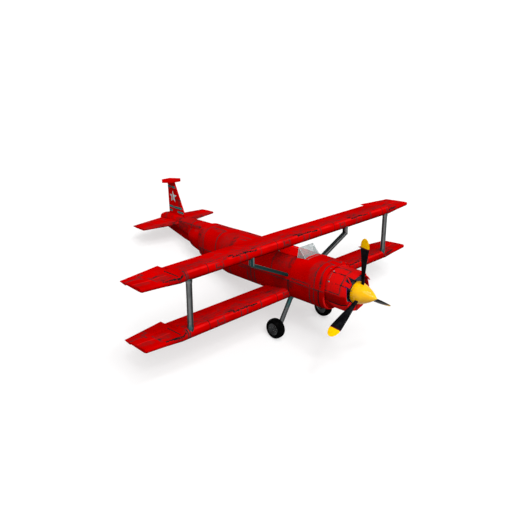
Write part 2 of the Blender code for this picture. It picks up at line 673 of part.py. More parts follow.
fin_outline = [(0, 4.182, 0.440), (0, 4.650, 1.4154)]
fin_outline.append(ahead_of_hinge(1.4154, 0.034))
for z in (1.260, 0.680):
    for height, distance in ((LUG_HALF, 0.034), (LUG_HALF, RUDDER_NOSE + LUG_FIT),
                             (-LUG_HALF, RUDDER_NOSE + LUG_FIT), (-LUG_HALF, 0.034)):
        fin_outline.append(ahead_of_hinge(z + height, distance))
fin_outline.append(ahead_of_hinge(0.440, 0.034))
fin = mesh_object("fin", plate(fin_outline, 2 * FIN_HALF, (1, 0, 0)), "red_paint")
cut(fin, [fairing_tool, boom_cutter])
hinge = pivot("rudder_axis", rudder_foot, rudder_head - rudder_foot)
rudder_rows = []
for at, tail_y in ((rudder_foot, 4.906), (rudder_head, 4.938)):
    ring = []
    for k in range(9):
        a = math.radians(90 + 180 * k / 8)
        ring.append((RUDDER_NOSE * math.sin(a), at.y + RUDDER_NOSE * math.cos(a), at.z))
    ring.append((-0.007, tail_y, at.z))
    ring.append((0.007, tail_y, at.z))
    rudder_rows.append(ring)
mesh_object("rudder", skin(bmesh.new(), rudder_rows), "red_paint", hinge, 35)
cap_outline = [(-0.315, 4.770, 1.434), (-0.150, 4.560, 1.434), (0.150, 4.560, 1.434),
               (0.315, 4.770, 1.434), (0.140, 5.020, 1.434), (-0.140, 5.020, 1.434)]
mesh_object("fin_cap", plate(cap_outline, 0.036, (0, 0, 1)), "red_paint")


def on_floor(y, radius):
    """Axis of a rod that lies on the floor at y, in the airframe's axes."""
    return (0, y, (math.sin(GROUND_ANGLE) * y + radius - STAND_HEIGHT) / math.cos(GROUND_ANGLE))


# Tail skid under the end of the boom, its last stretch lying on the floor
skid_points = [(0, 5.000, 0.150), on_floor(SKID_Y - 0.040, SKID_RADIUS), on_floor(SKID_Y, SKID_RADIUS)]
skid = mesh_object("tail_skid", tube(bmesh.new(), skid_points, SKID_RADIUS, 12), "dark_tube", None, 35)
cut(skid, [boom_cutter, keel_cutter, fairing_tool])

cut(spinner, [*sockets, bore])

for obj in list(bpy.data.objects):
    if obj.hide_render and obj.type == "MESH":
        bpy.data.objects.remove(obj, do_unlink=True)

# The airframe tilts back so that the tyres and the skid stand on the floor
lean = Matrix.Rotation(-GROUND_ANGLE, 4, "X")
airframe.matrix_world = Matrix.Translation((0, CENTRE_SHIFT, STAND_HEIGHT)) @ lean
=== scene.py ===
# Looks of a single-seat biplane in worn red paint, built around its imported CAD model.
# Metres. Points and outlines are given in the airframe's own axes: X port, Y aft along the propeller's
# axis, Z up, origin on that axis between the interplane struts. The finished meshes are carried into the
# CAD frame, where the aircraft stands tilted back on its skid.
import json
import math

import bmesh
import bpy
from mathutils import Matrix, Vector
from mathutils.bvhtree import BVHTree

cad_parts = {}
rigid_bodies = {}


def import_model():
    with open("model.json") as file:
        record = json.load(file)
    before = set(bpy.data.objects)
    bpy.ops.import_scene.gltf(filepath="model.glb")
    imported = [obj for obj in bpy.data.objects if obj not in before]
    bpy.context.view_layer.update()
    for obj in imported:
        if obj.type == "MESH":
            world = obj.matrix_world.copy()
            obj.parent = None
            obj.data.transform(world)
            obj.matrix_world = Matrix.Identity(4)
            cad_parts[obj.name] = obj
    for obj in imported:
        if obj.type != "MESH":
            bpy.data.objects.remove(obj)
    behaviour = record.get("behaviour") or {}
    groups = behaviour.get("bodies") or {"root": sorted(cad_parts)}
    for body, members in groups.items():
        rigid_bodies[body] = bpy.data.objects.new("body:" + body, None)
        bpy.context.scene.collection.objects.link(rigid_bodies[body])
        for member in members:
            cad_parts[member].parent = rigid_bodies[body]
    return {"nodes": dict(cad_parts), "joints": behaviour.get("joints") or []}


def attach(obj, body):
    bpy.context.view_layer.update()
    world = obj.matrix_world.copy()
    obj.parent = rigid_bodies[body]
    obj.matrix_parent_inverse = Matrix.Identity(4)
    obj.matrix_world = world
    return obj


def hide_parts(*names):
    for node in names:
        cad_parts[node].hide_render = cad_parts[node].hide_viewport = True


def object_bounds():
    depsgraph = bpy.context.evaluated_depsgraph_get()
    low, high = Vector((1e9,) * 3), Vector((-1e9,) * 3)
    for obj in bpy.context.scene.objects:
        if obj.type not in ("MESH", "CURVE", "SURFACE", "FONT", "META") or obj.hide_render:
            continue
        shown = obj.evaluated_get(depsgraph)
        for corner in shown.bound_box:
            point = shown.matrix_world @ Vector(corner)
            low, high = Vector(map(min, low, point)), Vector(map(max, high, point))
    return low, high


for old in list(bpy.data.objects):
    bpy.data.objects.remove(old, do_unlink=True)

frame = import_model()
CAD_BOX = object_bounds()
NODES = frame["nodes"]

# The airframe's place in the CAD frame, from the propeller's joint
PROP_Y = -1.703
PROP_JOINT = next(j for j in frame["joints"] if j["name"] == "propeller_turn")
TILT = math.atan2(PROP_JOINT["axis"][2], PROP_JOINT["axis"][1])
AIRFRAME = (Matrix.Translation(PROP_JOINT["pos_m"]) @ Matrix.Rotation(TILT, 4, "X")
            @ Matrix.Translation((0, -PROP_Y, 0)))
LOCAL = AIRFRAME.inverted()

# Sizes shared with the CAD model
BARREL_Z = -0.005
BARREL_RADIUS = 0.52
COWL_RADIUS = 0.465
COWL_FOOT = 0.950
WING_NOSE = (0.066, 0.864, 0.126)
LOWER_DROP = 1.218
LOWER_SHIFT = -0.010
STRUT_X = 3.300
WHEEL_X = 0.855
WHEEL_Z = -1.100
TYRE_RADIUS = 0.235
COCKPIT = (-0.200, 1.080, 0.270)
STAB_Z = 0.350
FIN_HALF = 0.024
SPINNER_JOINT = -1.592
SIDES = ((-1, "right"), (1, "left"))
BOTH = (-1, 1)
SHARP_DEGREES = 32

# Camera
CAMERA_BACK = Vector((-2, -2, 1)).normalized()
CAMERA_TARGET = Vector((0.0, 1.484, 0.0578))
CAMERA_DISTANCE = 15.235
CAMERA_LENS = 43.456


def place_object(name, data):
    """New object in the scene."""
    made = bpy.data.objects.new(name, data)
    bpy.context.scene.collection.objects.link(made)
    return made


def make_camera():
    """Camera that looks at the aircraft as the photograph does."""
    right = Vector((0, 0, 1)).cross(CAMERA_BACK).normalized()
    turn = Matrix((right, CAMERA_BACK.cross(right), CAMERA_BACK)).transposed().to_4x4()
    turn.translation = CAMERA_TARGET + CAMERA_BACK * CAMERA_DISTANCE
    data = bpy.data.cameras.new("camera")
    data.sensor_width = 36
    data.lens = CAMERA_LENS
    data.clip_end = 400
    camera = place_object("camera", data)
    camera.matrix_world = AIRFRAME @ turn
    bpy.context.scene.camera = camera


# Shader graphs
class Value:
    """A number or colour that a material's nodes work out. Arithmetic on it adds math nodes."""

    def __init__(self, graph, socket):
        self.graph = graph
        self.socket = socket

    def __add__(self, other):
        return self.graph.math("ADD", self, other)

    def __sub__(self, other):
        return self.graph.math("SUBTRACT", self, other)

    def __rsub__(self, other):
        return self.graph.math("SUBTRACT", other, self)

    def __mul__(self, other):
        return self.graph.math("MULTIPLY", self, other)

    def __truediv__(self, other):
        return self.graph.math("DIVIDE", self, other)

    def __mod__(self, other):
        return self.graph.math("FLOORED_MODULO", self, other)

    def __abs__(self):
        return self.graph.math("ABSOLUTE", self)

    def rise(self, low, high):
        """0 below low, 1 above high, smooth between; falls instead where high is below low."""
        start, end = (0.0, 1.0) if high > low else (1.0, 0.0)
        limits = {0: self, 1: min(low, high), 2: max(low, high), 3: start, 4: end}
        return self.graph.node("MapRange", limits, interpolation_type="SMOOTHSTEP")

    def within(self, low, high, soft):
        """1 between low and high, fading to 0 over soft outside."""
        half = (high - low) / 2
        return abs(self - (low + high) / 2).rise(half + soft, half)


class Graph:
    """A material's node tree with short calls. An input is a number, a tuple or another node's Value."""

    def __init__(self, name):
        self.material = bpy.data.materials.new(name)
        self.material.use_nodes = True
        self.tree = self.material.node_tree
        self.shader = self.tree.nodes["Principled BSDF"]
        self.axes = None
        self.point = None

    def put(self, socket, value):
        if isinstance(value, Value):
            self.tree.links.new(value.socket, socket)
        else:
            socket.default_value = value

    def node(self, kind, inputs, output=0, **settings):
        made = self.tree.nodes.new("ShaderNode" + kind)
        for key, value in settings.items():
            setattr(made, key, value)
        for key, value in inputs.items():
            self.put(made.inputs[key], value)
        return Value(self, made.outputs[output])

    def math(self, operation, *values):
        return self.node("Math", dict(enumerate(values)), operation=operation)

    def place(self):
        """x, y and z in the airframe's axes, fixed to the piece."""
        if self.axes is None:
            found = self.node("TexCoord", {}, "Object")
            self.point = self.node("Mapping", {"Vector": found, "Rotation": (-TILT, 0, 0),
                                               "Location": tuple(LOCAL.translation)})
            split = self.node("SeparateXYZ", {0: self.point}).socket.node
            self.axes = tuple(Value(self, socket) for socket in split.outputs)
        return self.axes

    def noise(self, scale, detail=4.0, stretch=(1, 1, 1), rough=0.55, shift=0.0):
        """Noise of that many grains a metre, drawn out along the axes by stretch."""
        self.place()
        moved = self.node("Mapping", {"Vector": self.point, "Location": (shift, shift, shift),
                                      "Scale": tuple(1 / s for s in stretch)})
        settings = {"Vector": moved, "Scale": scale, "Detail": detail, "Roughness": rough}
        return self.node("TexNoise", settings, "Fac")

    def mix(self, factor, a, b):
        a, b = ((*c, 1.0) if isinstance(c, tuple) else c for c in (a, b))
        return self.node("Mix", {0: factor, 6: a, 7: b}, 2, data_type="RGBA")

    def larger(self, first, *others):
        for other in others:
            first = self.math("MAXIMUM", first, other)
        return first

    def nearer(self, first, second):
        return self.math("MINIMUM", first, second)

    def marks(self, u, v, rows):
        """Distance to the nearest straight mark. A row is (axis it crosses, at, from, to) in u and v."""
        nearest = None
        for axis, at, low, high in rows:
            across, along = (u, v) if axis == "u" else (v, u)
            gap = self.larger(abs(across - at), abs(along - (low + high) / 2) - (high - low) / 2)
            nearest = gap if nearest is None else self.nearer(nearest, gap)
        return nearest

    def spots(self, u, v, rows, rag=0.5):
        """Ragged blots: a row is (centre u, centre v, half length, half height)."""
        grain = (self.noise(9, 6, rough=0.7) - 0.5) * (2 * rag)
        total = None
        for cu, cv, half_u, half_v in rows:
            du = (u - cu) / half_u
            dv = (v - cv) / half_v
            blot = (self.math("SQRT", du * du + dv * dv) + grain).rise(1.1, 0.6)
            total = blot if total is None else self.larger(total, blot)
        return total

    def finish(self, colour, roughness, height=None, depth=0.001, strength=0.4, **constants):
        self.put(self.shader.inputs["Base Color"], colour)
        self.put(self.shader.inputs["Roughness"], roughness)
        if height is not None:
            bump = self.node("Bump", {"Height": height, "Strength": strength, "Distance": depth})
            self.put(self.shader.inputs["Normal"], bump)
        for key, value in constants.items():
            self.shader.inputs[key.replace("_", " ")].default_value = value
        return self.material


# Colours, linear
RED = (0.580, 0.0, 0.0)
RED_DEEP = (0.440, 0.0, 0.0)
RED_FADED = (0.250, 0.011, 0.011)
# The chalky red serves worn places and painted highlights; the shade red is painted shade
RED_CHALK_AND_HIGHLIGHT = (0.830, 0.012, 0.012)
RED_SHADE = (0.170, 0.0, 0.0)
RED_STROKE = (0.058, 0.013, 0.015)
GRIME = (0.060, 0.016, 0.018)
SEAM = (0.014, 0.024, 0.026)
SOOT = (0.001, 0.010, 0.011)

# Sheet joints: the axis that a joint crosses, its place there and its two ends along the other axis.
# Patches, soot and painted shadow: centre, half length and half height along the same two axes.
# On the fuselage and cowl u is y and v the girth from the top centreline
SEAM_HALF = 0.007
GIRTH_SIDE = 0.817
RING_SEAMS = (
    ("u", -0.805, 0.0, 0.80), ("u", 0.470, 0.20, 0.75), ("u", 1.150, 0.0, 0.80), ("u", 2.440, 0.16, 0.80),
    ("u", 2.970, 0.0, 0.80), ("u", -0.965, 0.10, 0.75), ("v", 0.100, 2.46, 2.95), ("v", 0.100, -1.03, -0.83),
    ("v", 0.745, -0.64, -0.13), ("v", 0.130, 1.48, 1.84), ("v", 0.245, 1.48, 1.76), ("u", 1.480, 0.13, 0.40),
)
SIDE_SEAMS = (
    ("u", -0.680, 0.76, 1.55), ("u", -0.800, 0.84, 1.45), ("u", 1.140, 0.84, 1.45), ("u", 1.260, 0.84, 1.55),
    ("u", 1.020, 0.84, 1.55), ("u", 3.090, 0.84, 1.45), ("v", GIRTH_SIDE, -1.03, 3.20),
    ("v", 0.880, 1.30, 1.55), ("v", 0.880, 2.95, 3.18), ("u", 1.900, 0.90, 1.50), ("v", 1.250, -0.60, 0.95),
    ("v", 1.250, 1.30, 2.90),
)
DARK_SIDE_SEAMS = (("u", -0.925, 0.83, 1.55), ("u", -0.055, 0.80, 1.06), ("u", 2.960, 0.84, 1.55))
FUSELAGE_PATCHES = (
    (0.20, 0.34, 0.34, 0.34), (2.05, 0.40, 0.30, 0.45), (0.16, 0.98, 0.26, 0.22), (1.14, 1.10, 0.13, 0.45),
    (-0.72, 0.40, 0.12, 0.40), (3.10, 0.55, 0.14, 0.40), (2.60, 0.16, 0.30, 0.10),
)
FUSELAGE_SOOT = (
    (-0.07, 0.42, 0.07, 0.20), (1.90, 0.36, 0.08, 0.26), (3.13, 0.40, 0.06, 0.14), (-0.10, 0.90, 0.12, 0.12),
    (-0.98, 0.62, 0.05, 0.14),
)
COWL_SEAMS = (
    ("u", -1.435, 0.05, 0.67), ("v", 0.695, -1.43, -1.0), ("v", 0.050, -1.43, -1.10),
    ("v", 1.45, -1.60, -1.0),
)
COWL_DASHED = (("v", 0.250, -1.42, -1.06), ("v", 0.487, -1.60, -1.30))
COWL_FOOT_LINE = (("v", COWL_FOOT, -1.60, -1.15),)
COWL_PATCHES = ((-1.06, 0.62, 0.06, 0.20), (-1.20, 0.86, 0.26, 0.12))
COWL_FACET = math.radians(30)

# On the wings u is x within one bay, from its start, and v the chord from the nose round to the top.
# On their outer panels u is the distance from the centreline
WING_PERIOD = 1.98
WING_START = -2.86
PANEL_JOINT = 3.380
BAY_STRONG = (("u", 0.000, -0.30, 0.03),)
BAY_SEAMS = (
    ("u", 0.400, -0.26, -0.05), ("u", 0.220, -0.14, -0.06), ("v", -0.145, 0.22, 0.34),
    ("u", 0.880, -0.21, -0.07), ("u", 1.060, -0.21, -0.08), ("u", 1.480, -0.20, -0.02),
)
BAY_STREAKS = (
    ("v", -0.030, 0.70, 0.86), ("v", -0.025, 0.90, 1.14), ("v", -0.040, 1.18, 1.36), ("v", 0.020, 0.60, 0.72),
    ("v", -0.015, 1.02, 1.10),
)
BAY_FAINT = (
    ("v", -0.060, 0.25, 0.40), ("u", 0.940, -0.16, -0.08),
    ("u", 0.230, 0.42, 0.73), ("u", 0.730, 0.36, 0.70), ("u", 1.280, 0.22, 0.62), ("u", 1.955, 0.06, 0.36),
    ("v", 0.300, 0.20, 0.55), ("v", 0.030, 0.00, 1.98), ("v", 0.420, 0.58, 0.74), ("u", 0.580, 0.30, 0.42),
)
BAY_PATCHES = (
    (0.14, 0.16, 0.22, 0.13), (0.60, 0.12, 0.18, 0.08), (0.96, 0.17, 0.22, 0.15), (1.42, 0.14, 0.22, 0.12),
    (1.80, 0.16, 0.16, 0.12),
)
TIP_STRONG = (("u", 3.490, 0.10, 0.50),)
TIP_SEAMS = (
    ("u", 3.394, -0.10, 0.07), ("u", 3.930, 0.14, 0.42), ("v", 0.530, 4.08, 4.36),
    ("u", 4.050, 0.44, 0.58), ("v", 0.610, 3.93, 4.05), ("u", 3.930, 0.61, 0.80),
)
TIP_PATCHES = ((3.75, 0.26, 0.17, 0.17), (4.20, 0.22, 0.20, 0.10))
# The streak along the outer panel's nose runs back a little towards the tip
TIP_STREAKS = (("v", 0.012, 3.44, 3.74), ("v", 0.022, 3.60, 3.86))
TIP_STREAK_START = 3.45
TIP_STREAK_SLOPE = 0.06

# On the boom, keel, fairing and fin u is y and v is z; on the stabiliser u is the distance out and v is y
TAIL_SEAMS = (
    ("u", 3.720, -0.50, 0.60), ("u", 4.245, 0.10, 0.60), ("u", 4.900, 0.10, 0.62), ("v", 0.430, 3.26, 4.20),
    ("v", 0.930, 4.40, 4.75),
)
# The first blot, under the stabiliser's nose, is a painted shadow; the others are darker blots
TAIL_SOOT_AND_SHADOW = (
    (4.10, 0.30, 0.22, 0.12), (3.60, -0.10, 0.16, 0.20), (4.35, 0.47, 0.14, 0.035), (4.64, 0.46, 0.05, 0.03),
)
TAIL_PATCHES = ((4.00, 0.48, 0.30, 0.08), (3.45, 0.42, 0.16, 0.12), (4.20, 0.36, 0.40, 0.10))
STAB_SEAMS = (("u", 0.330, 4.24, 5.2), ("u", 0.760, 4.2, 5.2), ("v", 4.480, 0.20, 1.10))
# Darker patches on the stabiliser's top near its root
STAB_ROOT_DARK_PATCHES = ((0.30, 4.34, 0.22, 0.07), (0.62, 4.38, 0.12, 0.04))
FIN_SEAMS = (("v", 0.930, 4.38, 4.70), ("u", 4.440, 0.50, 0.93), ("v", 1.405, 4.5, 5.0))
FIN_PATCHES = ((4.88, 1.36, 0.10, 0.04), (4.62, 0.66, 0.20, 0.05))


def red_coat(g, blotchy, chalk_and_highlight, patch, strokes, shade):
    """Faded red enamel with worn, patched and brushed places, painted highlights, painted shade and a fine
    speckle of dirt.
    """
    colour = g.mix(g.noise(1.7, 3).rise(0.35, 0.70), RED, RED_DEEP)
    if chalk_and_highlight is not None:
        colour = g.mix(chalk_and_highlight * 0.80, colour, RED_CHALK_AND_HIGHLIGHT)
    if patch is not None:
        colour = g.mix(patch * (blotchy * 0.60 + 0.30), colour, RED_FADED)
    haze = g.noise(2.6, 6, rough=0.65, shift=5.3).rise(0.52, 0.70) * blotchy * 0.50
    colour = g.mix(haze, colour, RED_FADED)
    if strokes is not None:
        colour = g.mix(strokes, colour, RED_STROKE)
    if shade is not None:
        colour = g.mix(shade * 0.50, colour, RED_SHADE)
    speckle = g.noise(48, 3, shift=8.2).rise(0.66, 0.74) * g.noise(3.2, 3, shift=9.4).rise(0.48, 0.62)
    return g.mix(speckle * 0.7, colour, GRIME)


def joint_lines(g, colour, blotchy, seam, faint, dark):
    """Dirty halo and line along the sheet joints: the colour with them, and where the lines are."""
    wobble = (g.noise(30, 3) - 0.5) * 0.006
    broken = g.noise(7, 3, shift=3.1).rise(0.36, 0.56)
    seam = seam + wobble
    colour = g.mix(seam.rise(0.065, 0.004) * (blotchy * 0.6 + 0.08), colour, GRIME)
    core = seam.rise(SEAM_HALF + 0.006, SEAM_HALF - 0.001) * (broken * 0.50 + 0.50)
    if faint is not None:
        core = g.larger(core, (faint + wobble).rise(0.014, 0.005) * (broken * 0.50 + 0.15))
    colour = g.mix(core, colour, SEAM)
    if dark is not None:
        dark = dark + wobble
        core = g.larger(core, dark.rise(0.014, 0.008))
        colour = g.mix(dark.rise(0.018, 0.009), colour, SOOT)
    return colour, core


def red_paint(g, seam, faint=None, patch=None, soot_and_shadow=None, shade=None, dark=None, chalk_and_highlight=None, streak=None,
              strokes=None):
    """Worn red enamel, with painted highlights and painted shade where they are asked for. The joints (seam,
    faint, dark) and streak are distances, the rest run from 0 to 1.
    """
    blotchy = g.noise(11, 8, rough=0.72, shift=1.7).rise(0.42, 0.66)
    colour = red_coat(g, blotchy, chalk_and_highlight, patch, strokes, shade)
    colour, core = joint_lines(g, colour, blotchy, seam, faint, dark)
    if soot_and_shadow is not None:
        colour = g.mix(soot_and_shadow * blotchy.rise(-0.4, 0.7), colour, SOOT)
    if streak is not None:
        torn = (g.noise(32, 6, rough=0.75, shift=11.0) - 0.49) * 0.14
        colour = g.mix((streak + torn).rise(0.025, 0.011), colour, SOOT)
    scuffs = g.noise(26, 5, stretch=(3, 1, 1), shift=4.4).rise(0.70, 0.78)
    colour = g.mix(scuffs * 0.35, colour, RED_CHALK_AND_HIGHLIGHT)
    roughness = blotchy * 0.16 + core * 0.25 + 0.34
    height = g.noise(55, 3) * 0.25 - core
    return g.finish(colour, roughness, height, 0.002, 0.35, Specular_IOR_Level=0.0)


def fuselage_red():
    """Marked by station and girth, with painted shade below the side joint and a painted highlight under the
    front rim.
    """
    g = Graph("fuselage_red")
    x, y, z = g.place()
    girth = g.math("ARCTAN2", abs(x), z - BARREL_Z) * BARREL_RADIUS
    # Painted highlight: lighter under the front rim, where the painted shade is left out
    worn = y.rise(-1.035, -1.050) * girth.rise(0.90, 1.00)
    # Painted shade: the lower side darker, below the side joint
    low = girth.rise(GIRTH_SIDE - 0.004, GIRTH_SIDE + 0.004)
    return red_paint(
        g, g.marks(y, girth, RING_SEAMS + SIDE_SEAMS), patch=g.spots(y, girth, FUSELAGE_PATCHES, 0.35),
        soot_and_shadow=g.spots(y, girth, FUSELAGE_SOOT, 0.9) * 0.55, shade=low * (1.0 - worn),
        dark=g.marks(y, girth, DARK_SIDE_SEAMS), chalk_and_highlight=worn)


def wing_chord(g, drop, shift):
    """Distance back from the nose, measured round the nose and along the top, and the plain distance."""
    _, y, z = g.place()
    nose_y, nose_z, nose_r = WING_NOSE
    ahead = nose_y + shift - y
    rolled = nose_y - g.math("ARCTAN2", ahead, z - (nose_z - drop)) * nose_r
    on_nose = ahead.rise(-0.0005, 0.0005)
    flat = y - shift
    return rolled * on_nose + flat * (1.0 - on_nose), flat


def wing_strokes(g, chord, out, inner, outer):
    """Dark brush strokes along the span, behind the nose and on part of the outer panels."""
    strokes = g.noise(16, 7, stretch=(4, 0.8, 1), rough=0.72, shift=13.0).rise(0.50, 0.62)
    strokes = strokes * g.noise(2.4, 3, shift=14.2).rise(0.34, 0.50) * chord.within(0.02, 0.38, 0.10)
    return g.larger(strokes * inner * 0.95, strokes * outer * out.within(3.58, 3.92, 0.04) * 1.2)


def wing_red(name, drop, shift):
    """Sheet joints repeat along the span by the bay; the outer panels have their own."""
    g = Graph(name)
    x, _, z = g.place()
    chord, flat = wing_chord(g, drop, shift)
    nose_z = WING_NOSE[1] - drop
    bay = (x - WING_START) % WING_PERIOD
    out = abs(x)
    inner = out.rise(PANEL_JOINT + 0.005, PANEL_JOINT - 0.005)
    outer = 1.0 - inner

    def joints(bay_rows, tip_rows, tip_chord=flat):
        return g.nearer(g.marks(bay, chord, bay_rows) + outer, g.marks(out, tip_chord, tip_rows) + inner)

    leaning = flat - (out - TIP_STREAK_START) * TIP_STREAK_SLOPE
    patch = g.larger(g.spots(bay, chord, BAY_PATCHES) * inner, g.spots(out, flat, TIP_PATCHES, 0.3) * outer)
    # Painted highlight: a lighter line along the outer panels' crest
    crest_highlight = flat.within(0.295, 0.315, 0.015) * out.within(3.62, 4.34, 0.05) * outer * 0.6
    # Painted highlight: a lighter band on the upper front of the inner panels' nose
    edge = chord.within(-0.050, -0.030, 0.025) * g.noise(2.2, 4, shift=6.6).rise(0.30, 0.55) * inner
    # Painted shade: darker under the nose, and below the height of its centre
    below = chord.rise(-0.180, -0.215) * inner * 1.8
    shade = g.larger(below, z.rise(nose_z - 0.010, nose_z - 0.040) * 0.4)
    return red_paint(
        g, joints(BAY_SEAMS, TIP_SEAMS), faint=g.marks(bay, chord, BAY_FAINT) + outer,
        patch=patch * chord.rise(-0.20, -0.02), shade=shade, dark=joints(BAY_STRONG, TIP_STRONG),
        chalk_and_highlight=g.larger(crest_highlight, edge * 0.75), streak=joints(BAY_STREAKS, TIP_STREAKS, leaning),
        strokes=wing_strokes(g, chord, out, inner, outer))


def cowl_red():
    """Marked by station and girth: dashed and plain joints, lighter lines along the corners between the
    facets, painted highlights and painted shade.
    """
    g = Graph("cowl_red")
    x, y, z = g.place()
    angle = g.math("ARCTAN2", abs(x), z)
    girth = angle * COWL_RADIUS
    dashes = g.noise(18, 4, stretch=(1, 2, 1), shift=2.9).rise(0.44, 0.56)
    dark = g.marks(y, girth, COWL_DASHED) + dashes * 0.010
    corner = abs((angle + COWL_FACET / 2) % COWL_FACET - COWL_FACET / 2)
    corner_lines_and_highlights = (corner * COWL_RADIUS).rise(0.008, 0.002) * g.noise(14, 4).rise(0.45, 0.60)
    # Painted highlights: lighter below the foot line towards the front, and over the upper facets
    corner_lines_and_highlights = g.larger(corner_lines_and_highlights, girth.rise(COWL_FOOT, COWL_FOOT + 0.020) * y.rise(-1.12, -1.22))
    corner_lines_and_highlights = g.larger(corner_lines_and_highlights, girth.rise(0.74, 0.70) * 0.45)
    # Painted shade: darker on the lower side, down to the foot line
    shade = girth.rise(0.722, 0.735) * y.rise(-1.585, -1.560) * y.rise(-1.010, -1.040)
    shade = shade * girth.rise(COWL_FOOT, COWL_FOOT - 0.010)
    return red_paint(
        g, g.marks(y, girth, COWL_SEAMS), patch=g.spots(y, girth, COWL_PATCHES, 0.3), shade=shade * 1.15,
        dark=g.nearer(dark, g.marks(y, girth, COWL_FOOT_LINE)), chalk_and_highlight=corner_lines_and_highlights)


def tail_red():
    """Boom, keel, fairing and tail surfaces, marked by station and height."""
    g = Graph("tail_red")
    x, y, z = g.place()
    side = abs(x)
    on_surface = z.within(0.29, 0.41, 0.01) * side.rise(0.17, 0.20)
    span = g.marks(side, y, STAB_SEAMS) + (1.0 - on_surface)
    root = g.spots(side, y, STAB_ROOT_DARK_PATCHES, 0.9) * on_surface
    # Painted shade: darker low on the boom and keel
    return red_paint(
        g, g.marks(y, z, TAIL_SEAMS), faint=span, patch=g.spots(y, z, TAIL_PATCHES, 0.4),
        soot_and_shadow=g.larger(g.spots(y, z, TAIL_SOOT_AND_SHADOW, 0.9) * 0.6, root * 0.75), shade=z.rise(0.20, 0.12) * 0.7)


def fin_red():
    """Fin and rudder, with shade running down them in soft streaks."""
    g = Graph("fin_red")
    _, y, z = g.place()
    shade = g.noise(3.0, 3, stretch=(1, 1, 3)).rise(0.45, 0.65) * 0.7
    return red_paint(g, g.marks(y, z, FIN_SEAMS), patch=g.spots(y, z, FIN_PATCHES, 0.5), shade=shade)


def plain_red():
    """Without joints: its distance to the nearest one is always more than a metre."""
    g = Graph("plain_red")
    return red_paint(g, g.noise(2, 2) + 1.0, patch=g.noise(5, 5).rise(0.58, 0.72) * 0.5)


def tube_edge_shade(g, x, y, z):
    """Painted shade: black bands along the two flanks of each interplane strut and gear leg and two along the
    port centre strut.
    """
    out = abs(x)
    beside = (out - STRUT_X) * g.math("SIGN", x)
    strut = abs(beside + y).rise(0.090, 0.066) * out.rise(3.15, 3.20)
    lift = (out - 0.330) * 0.634 + (z + 0.450) * 0.390
    leg = abs(lift - y * 0.668).rise(0.048, 0.036) * z.rise(-0.440, -0.460) * out.rise(3.0, 2.9)
    lift = (z - 0.085) * 0.597 - (x - 0.450) * 0.279
    centre = abs(lift - (y + 0.022) * 0.753).rise(0.046, 0.036)
    centre = centre * x.within(0.40, 1.70, 0.01) * z.rise(0.0, 0.02)
    return g.larger(strut, leg, centre)


def dark_tube():
    """Dark steel, green-blue towards the ends, with painted shade on the tubes' flanks and on some of the
    centre struts.
    """
    g = Graph("dark_tube")
    x, y, z = g.place()
    teal_ends = g.larger(z.rise(-0.05, -0.26), z.rise(0.74, 0.80), z.rise(-0.40, -0.52))
    teal_ends = (teal_ends - z.rise(-0.62, -0.72)) * g.noise(12, 5).rise(0.25, 0.60)
    stain = g.noise(20, 6, stretch=(1, 1, 4)).rise(0.40, 0.66)
    base = g.mix(stain, (0.190, 0.197, 0.199), (0.110, 0.118, 0.120))
    base = g.mix(z.rise(-0.44, -0.50), base, (0.085, 0.090, 0.092))
    # Painted shade: the starboard centre struts and the port rear one are darker, save for a lighter strip up
    # the starboard upright's top, a painted highlight
    port = x.within(0.40, 1.70, 0.01) * y.rise(0.020, 0.030) * z.rise(0.0, 0.04)
    shaded_tubes = g.larger(port, x.within(-1.700, -0.44, 0.01) * z.rise(0.0, 0.04))
    shine = x.within(-1.622, -1.598, 0.008) * z.rise(0.60, 0.64)
    base = g.mix(shaded_tubes * (1.0 - shine), base, (0.0, 0.040, 0.040))
    edge_shade = tube_edge_shade(g, x, y, z)
    teal_ends = teal_ends * (1.0 - g.larger(edge_shade, shaded_tubes) * 0.85)
    colour = g.mix(teal_ends * 0.9, base, (0.0, 0.090, 0.094))
    colour = g.mix(edge_shade * 0.93, colour, (0.004, 0.006, 0.007))
    rust = g.noise(60, 4, shift=2.0).rise(0.64, 0.74)
    colour = g.mix(rust * 0.35, colour, (0.10, 0.045, 0.02))
    return g.finish(colour, g.noise(25, 5) * 0.22 + 0.20, g.noise(90, 3), 0.0006, 0.3, Metallic=0.35,
                    Specular_IOR_Level=0.15)


def spinner_yellow():
    """Glossy yellow with a dashed ring of dirt at the back joint and streaks trailing from it."""
    g = Graph("spinner_yellow")
    x, y, z = g.place()
    base = g.mix(g.noise(3.5, 4).rise(0.35, 0.70), (1.00, 0.560, 0.0), (0.90, 0.45, 0.0))
    turn = g.math("PINGPONG", g.math("ARCTAN2", x, z) + 9.0, math.radians(30))
    dirt = abs(y - SPINNER_JOINT).rise(0.010, 0.004) * turn.rise(math.radians(22), math.radians(27))
    streaks = g.noise(20, 5, stretch=(1, 5, 1)).rise(0.58, 0.75) * y.rise(-1.80, -1.60)
    colour = g.mix(streaks * 0.35, base, (0.30, 0.13, 0.01))
    colour = g.mix(dirt * 0.85, colour, (0.03, 0.02, 0.02))
    return g.finish(colour, g.noise(16, 4) * 0.16 + 0.20, g.noise(45, 3), 0.0003, 0.10, Coat_Weight=0.50,
                    Coat_Roughness=0.10, Specular_IOR_Level=0.0)


